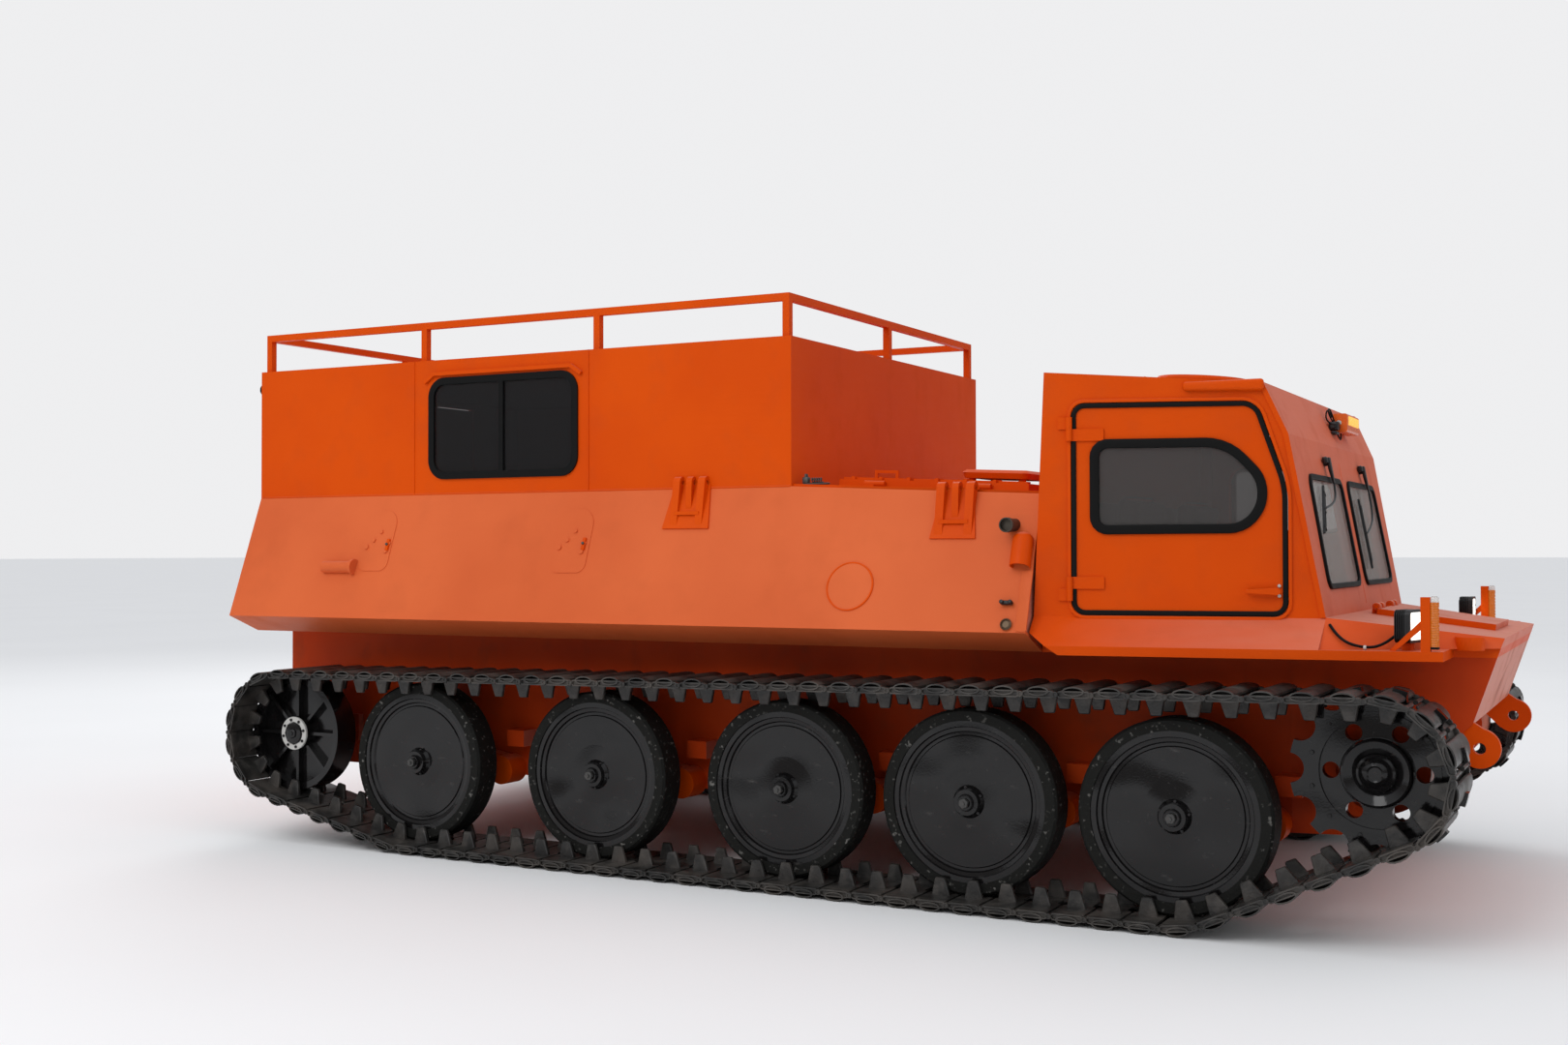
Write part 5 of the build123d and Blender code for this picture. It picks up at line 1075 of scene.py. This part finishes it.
# Port latches at the right-hand edge of each cover
for x in (-1836, -790):
    latch = rounded(block((x, up_slope(1312), 7), (16, 54, 12)), 3, 2)
    fittings.append(painted(latch, orange))
    pin = rounded(drum((x, up_slope(1312), 14), 6, 12, "Z", 14), 2, 2)
    fittings.append(painted(pin, worn_metal))
fittings = laid(joined(*fittings), slope)
finished(with_mirror(fittings), "slope_fittings")

# Air hood: a domed half-round cowl, open below
HOOD_FOOT, HOOD_TOP = up_slope(1221), up_slope(1342)
HOOD_X, HOOD_RADIUS = 1116, 38
cowl = drum((HOOD_X, (HOOD_FOOT + HOOD_TOP) / 2, 14), HOOD_RADIUS, HOOD_TOP - HOOD_FOOT,
            "Y", 32)
rounded(cowl, 30, 6, lambda edge: middle(edge).y > HOOD_TOP - 1)
stepped(cowl, facing("Y", -1), 5, -60)
cowl = laid(painted(cowl, orange), slope)
finished(cowl, "air_hood_cowl", instead=("air_hood",))

# Exhaust: a burnt collar round the mouth with a dark bore
collar = drum((1070, -1108, 1375), 27, 26, "Y", 28)
stepped(collar, facing("Y", -1), 5, -20)
finished(painted(rounded(collar, 1.5, 1), burnt), "exhaust_collar")

# House wall: welds at the panel joints, up the wall and along the foot of the slope
seams = []
for x in (-827, -1760):
    bead = drum((x, -978, 1832), 3, 590, "Z", 8)
    sliced(bead, "Z", range(1560, 2110, 50))
    seams.append(bead)
foot = drum((-1276, -977, 1537), 3.5, 2800, "X", 8)
seams.append(sliced(foot, "X", range(-2600, 100, 120)))
finished(painted(with_mirror(joined(*seams)), orange), "panel_welds")

# Bow: a round lug with a sunk top on each cheek of the nose, and a framed slot low on the bow
lug = drum((2564, -706, 968), 47, 46, "Z", 24)
with shaping(lug):
    take(lug, "FACE", facing("Z"))
    ops.mesh.inset(thickness=0.010)
    ops.transform.translate(value=(0, 0, -0.012))
finished(with_mirror(painted(rounded(lug, 2, 2), orange)), "bow_handles")

slots = []
for x in (2464, 2486):
    bar = rounded(block((x, -646, 779), (5, 8, 84)), 1.5, 2)
    slots.append(painted(bar, shaded_hull_orange))
for z in (736, 822):
    bar = rounded(block((2475, -646, z), (27, 8, 5)), 1.5, 2)
    slots.append(painted(bar, shaded_hull_orange))
finished(with_mirror(joined(*slots)), "bow_slots")

# Hood lid: two pairs of hinge barrels at the rear
lumps = []
for y in (-205, -120, 120, 205):
    lump = drum((2192, y, 1072), 15, 44, "Y", 18)
    rounded(lump, 4, 2)
    lumps.append(painted(stepped(lump, facing("Y", -1), 4, 3), front_sheen_orange))
finished(joined(*lumps), "hood_hinge_barrels")

# Headlamp cable ties
ties = []
for side in (-1, 1):
    tie = drum((2262, side * 931, 957.5), 8, 9, "X", 18)
    rounded(tie, 2, 2)
    ties.append(painted(stepped(tie, facing("X"), 2, -1), pale_paint))
finished(joined(*ties), "cable_ties")

# Rear doors: an upright lock bar with guides and a grip on each leaf
bars = []
rod = drum((-2724, -60, 1500), 9, 900, "Z", 16)
bars.append(sliced(rod, "Z", (1300, 1500, 1700)))
for z in (1130, 1420, 1580, 1870):
    bars.append(rounded(block((-2716, -60, z), (20, 46, 34)), 5, 2))
grip = wire(((-2724, -60, 1500), (-2727, -96, 1500), (-2727, -150, 1496), (-2734, -196, 1490)),
            8, orange)
bars = joined(painted(joined(*bars), orange), grip)
finished_pair(bars, "rear_lock", "rear_door")

# Deck: a sprung latch at the house's front corner
coil = []
for step in range(40):
    turn_by = step * pi / 4
    coil.append((196 + step * 1.2, -930 + 9 * cos(turn_by), 1560 + 9 * sin(turn_by)))
latch_parts = [wire(coil, 2.4, worn_metal)]
body_block = rounded(block((172, -930, 1560), (26, 26, 26)), 5, 2)
latch_parts.append(painted(stepped(body_block, facing("Z"), 5, 12), worn_metal))
latch_parts.append(painted(rounded(block((216, -930, 1546), (110, 22, 8)), 2, 1), worn_metal))
finished(joined(*latch_parts), "deck_latch")


# Floor, light and background
def staged(thing, name, material):
    thing.name = name
    thing.data.materials.append(material)


floor_finish = Finish("pale_floor")
pale = floor_finish.show(
    Base_Color=floor_finish.mix(floor_finish.noise(0.5, 2), (0.84, 0.84, 0.84, 1),
                                (0.88, 0.88, 0.88, 1)),
    Roughness=0.8 + floor_finish.noise(3, 2) * 0.1)
ops.object.select_all(action="DESELECT")
ops.mesh.primitive_plane_add(size=600, location=(0, 0, 0))
staged(bpy.context.object, "floor", pale)

# The world: brighter with height for light and reflections, and one pale shade to the camera
SKY_SHADES = ((0, (0.26, 0.24, 0.23)), (0.16, (0.36, 0.35, 0.35)),
              (0.40, (0.78, 0.80, 0.83)), (1, (1.0, 1.02, 1.06)))
world = bpy.data.worlds.new("soft_day")
bpy.context.scene.world = world
world.use_nodes = True
tree = world.node_tree
ray = tree.nodes.new("ShaderNodeLightPath")
where = tree.nodes.new("ShaderNodeTexCoord")
height = tree.nodes.new("ShaderNodeSeparateXYZ")
tree.links.new(where.outputs["Generated"], height.inputs[0])
rise = tree.nodes.new("ShaderNodeValToRGB")
tree.links.new(height.outputs["Z"], rise.inputs[0])
stops = rise.color_ramp.elements
for at, _ in SKY_SHADES[1:-1]:
    stops.new(at)
for stop, (at, shade) in zip(stops, SKY_SHADES):
    stop.position = at
    stop.color = (*shade, 1)
sky = tree.nodes.new("ShaderNodeBackground")
tree.links.new(rise.outputs[0], sky.inputs["Color"])
sky.inputs["Strength"].default_value = 0.95
white = tree.nodes.new("ShaderNodeBackground")
white.inputs["Color"].default_value = (0.86, 0.86, 0.87, 1)
white.inputs["Strength"].default_value = 1.0
pick = tree.nodes.new("ShaderNodeMixShader")
tree.links.new(ray.outputs["Is Camera Ray"], pick.inputs["Fac"])
tree.links.new(sky.outputs[0], pick.inputs[1])
tree.links.new(white.outputs[0], pick.inputs[2])
tree.links.new(pick.outputs[0], tree.nodes["World Output"].inputs["Surface"])

# Soft lamps: name, place, what each is aimed at, and power
LAMP_SIZE = 6
for name, spot, aim, power in (
        ("key_lamp", (-1.5, -10, 8), (0, 0, 1), 400),
        ("fill_lamp", (10, -1, 6), (1, 0, 1), 50),
        ("back_lamp", (-7, 8, 8), (-1, 0, 1), 260)):
    ops.object.light_add(type="AREA", location=spot)
    lamp = bpy.context.object
    lamp.name = name
    lamp.data.size = LAMP_SIZE
    lamp.data.energy = power
    lamp.rotation_euler = (Vector(aim) - Vector(spot)).to_track_quat("-Z", "Y").to_euler()

bpy.context.scene.view_settings.view_transform = "Standard"
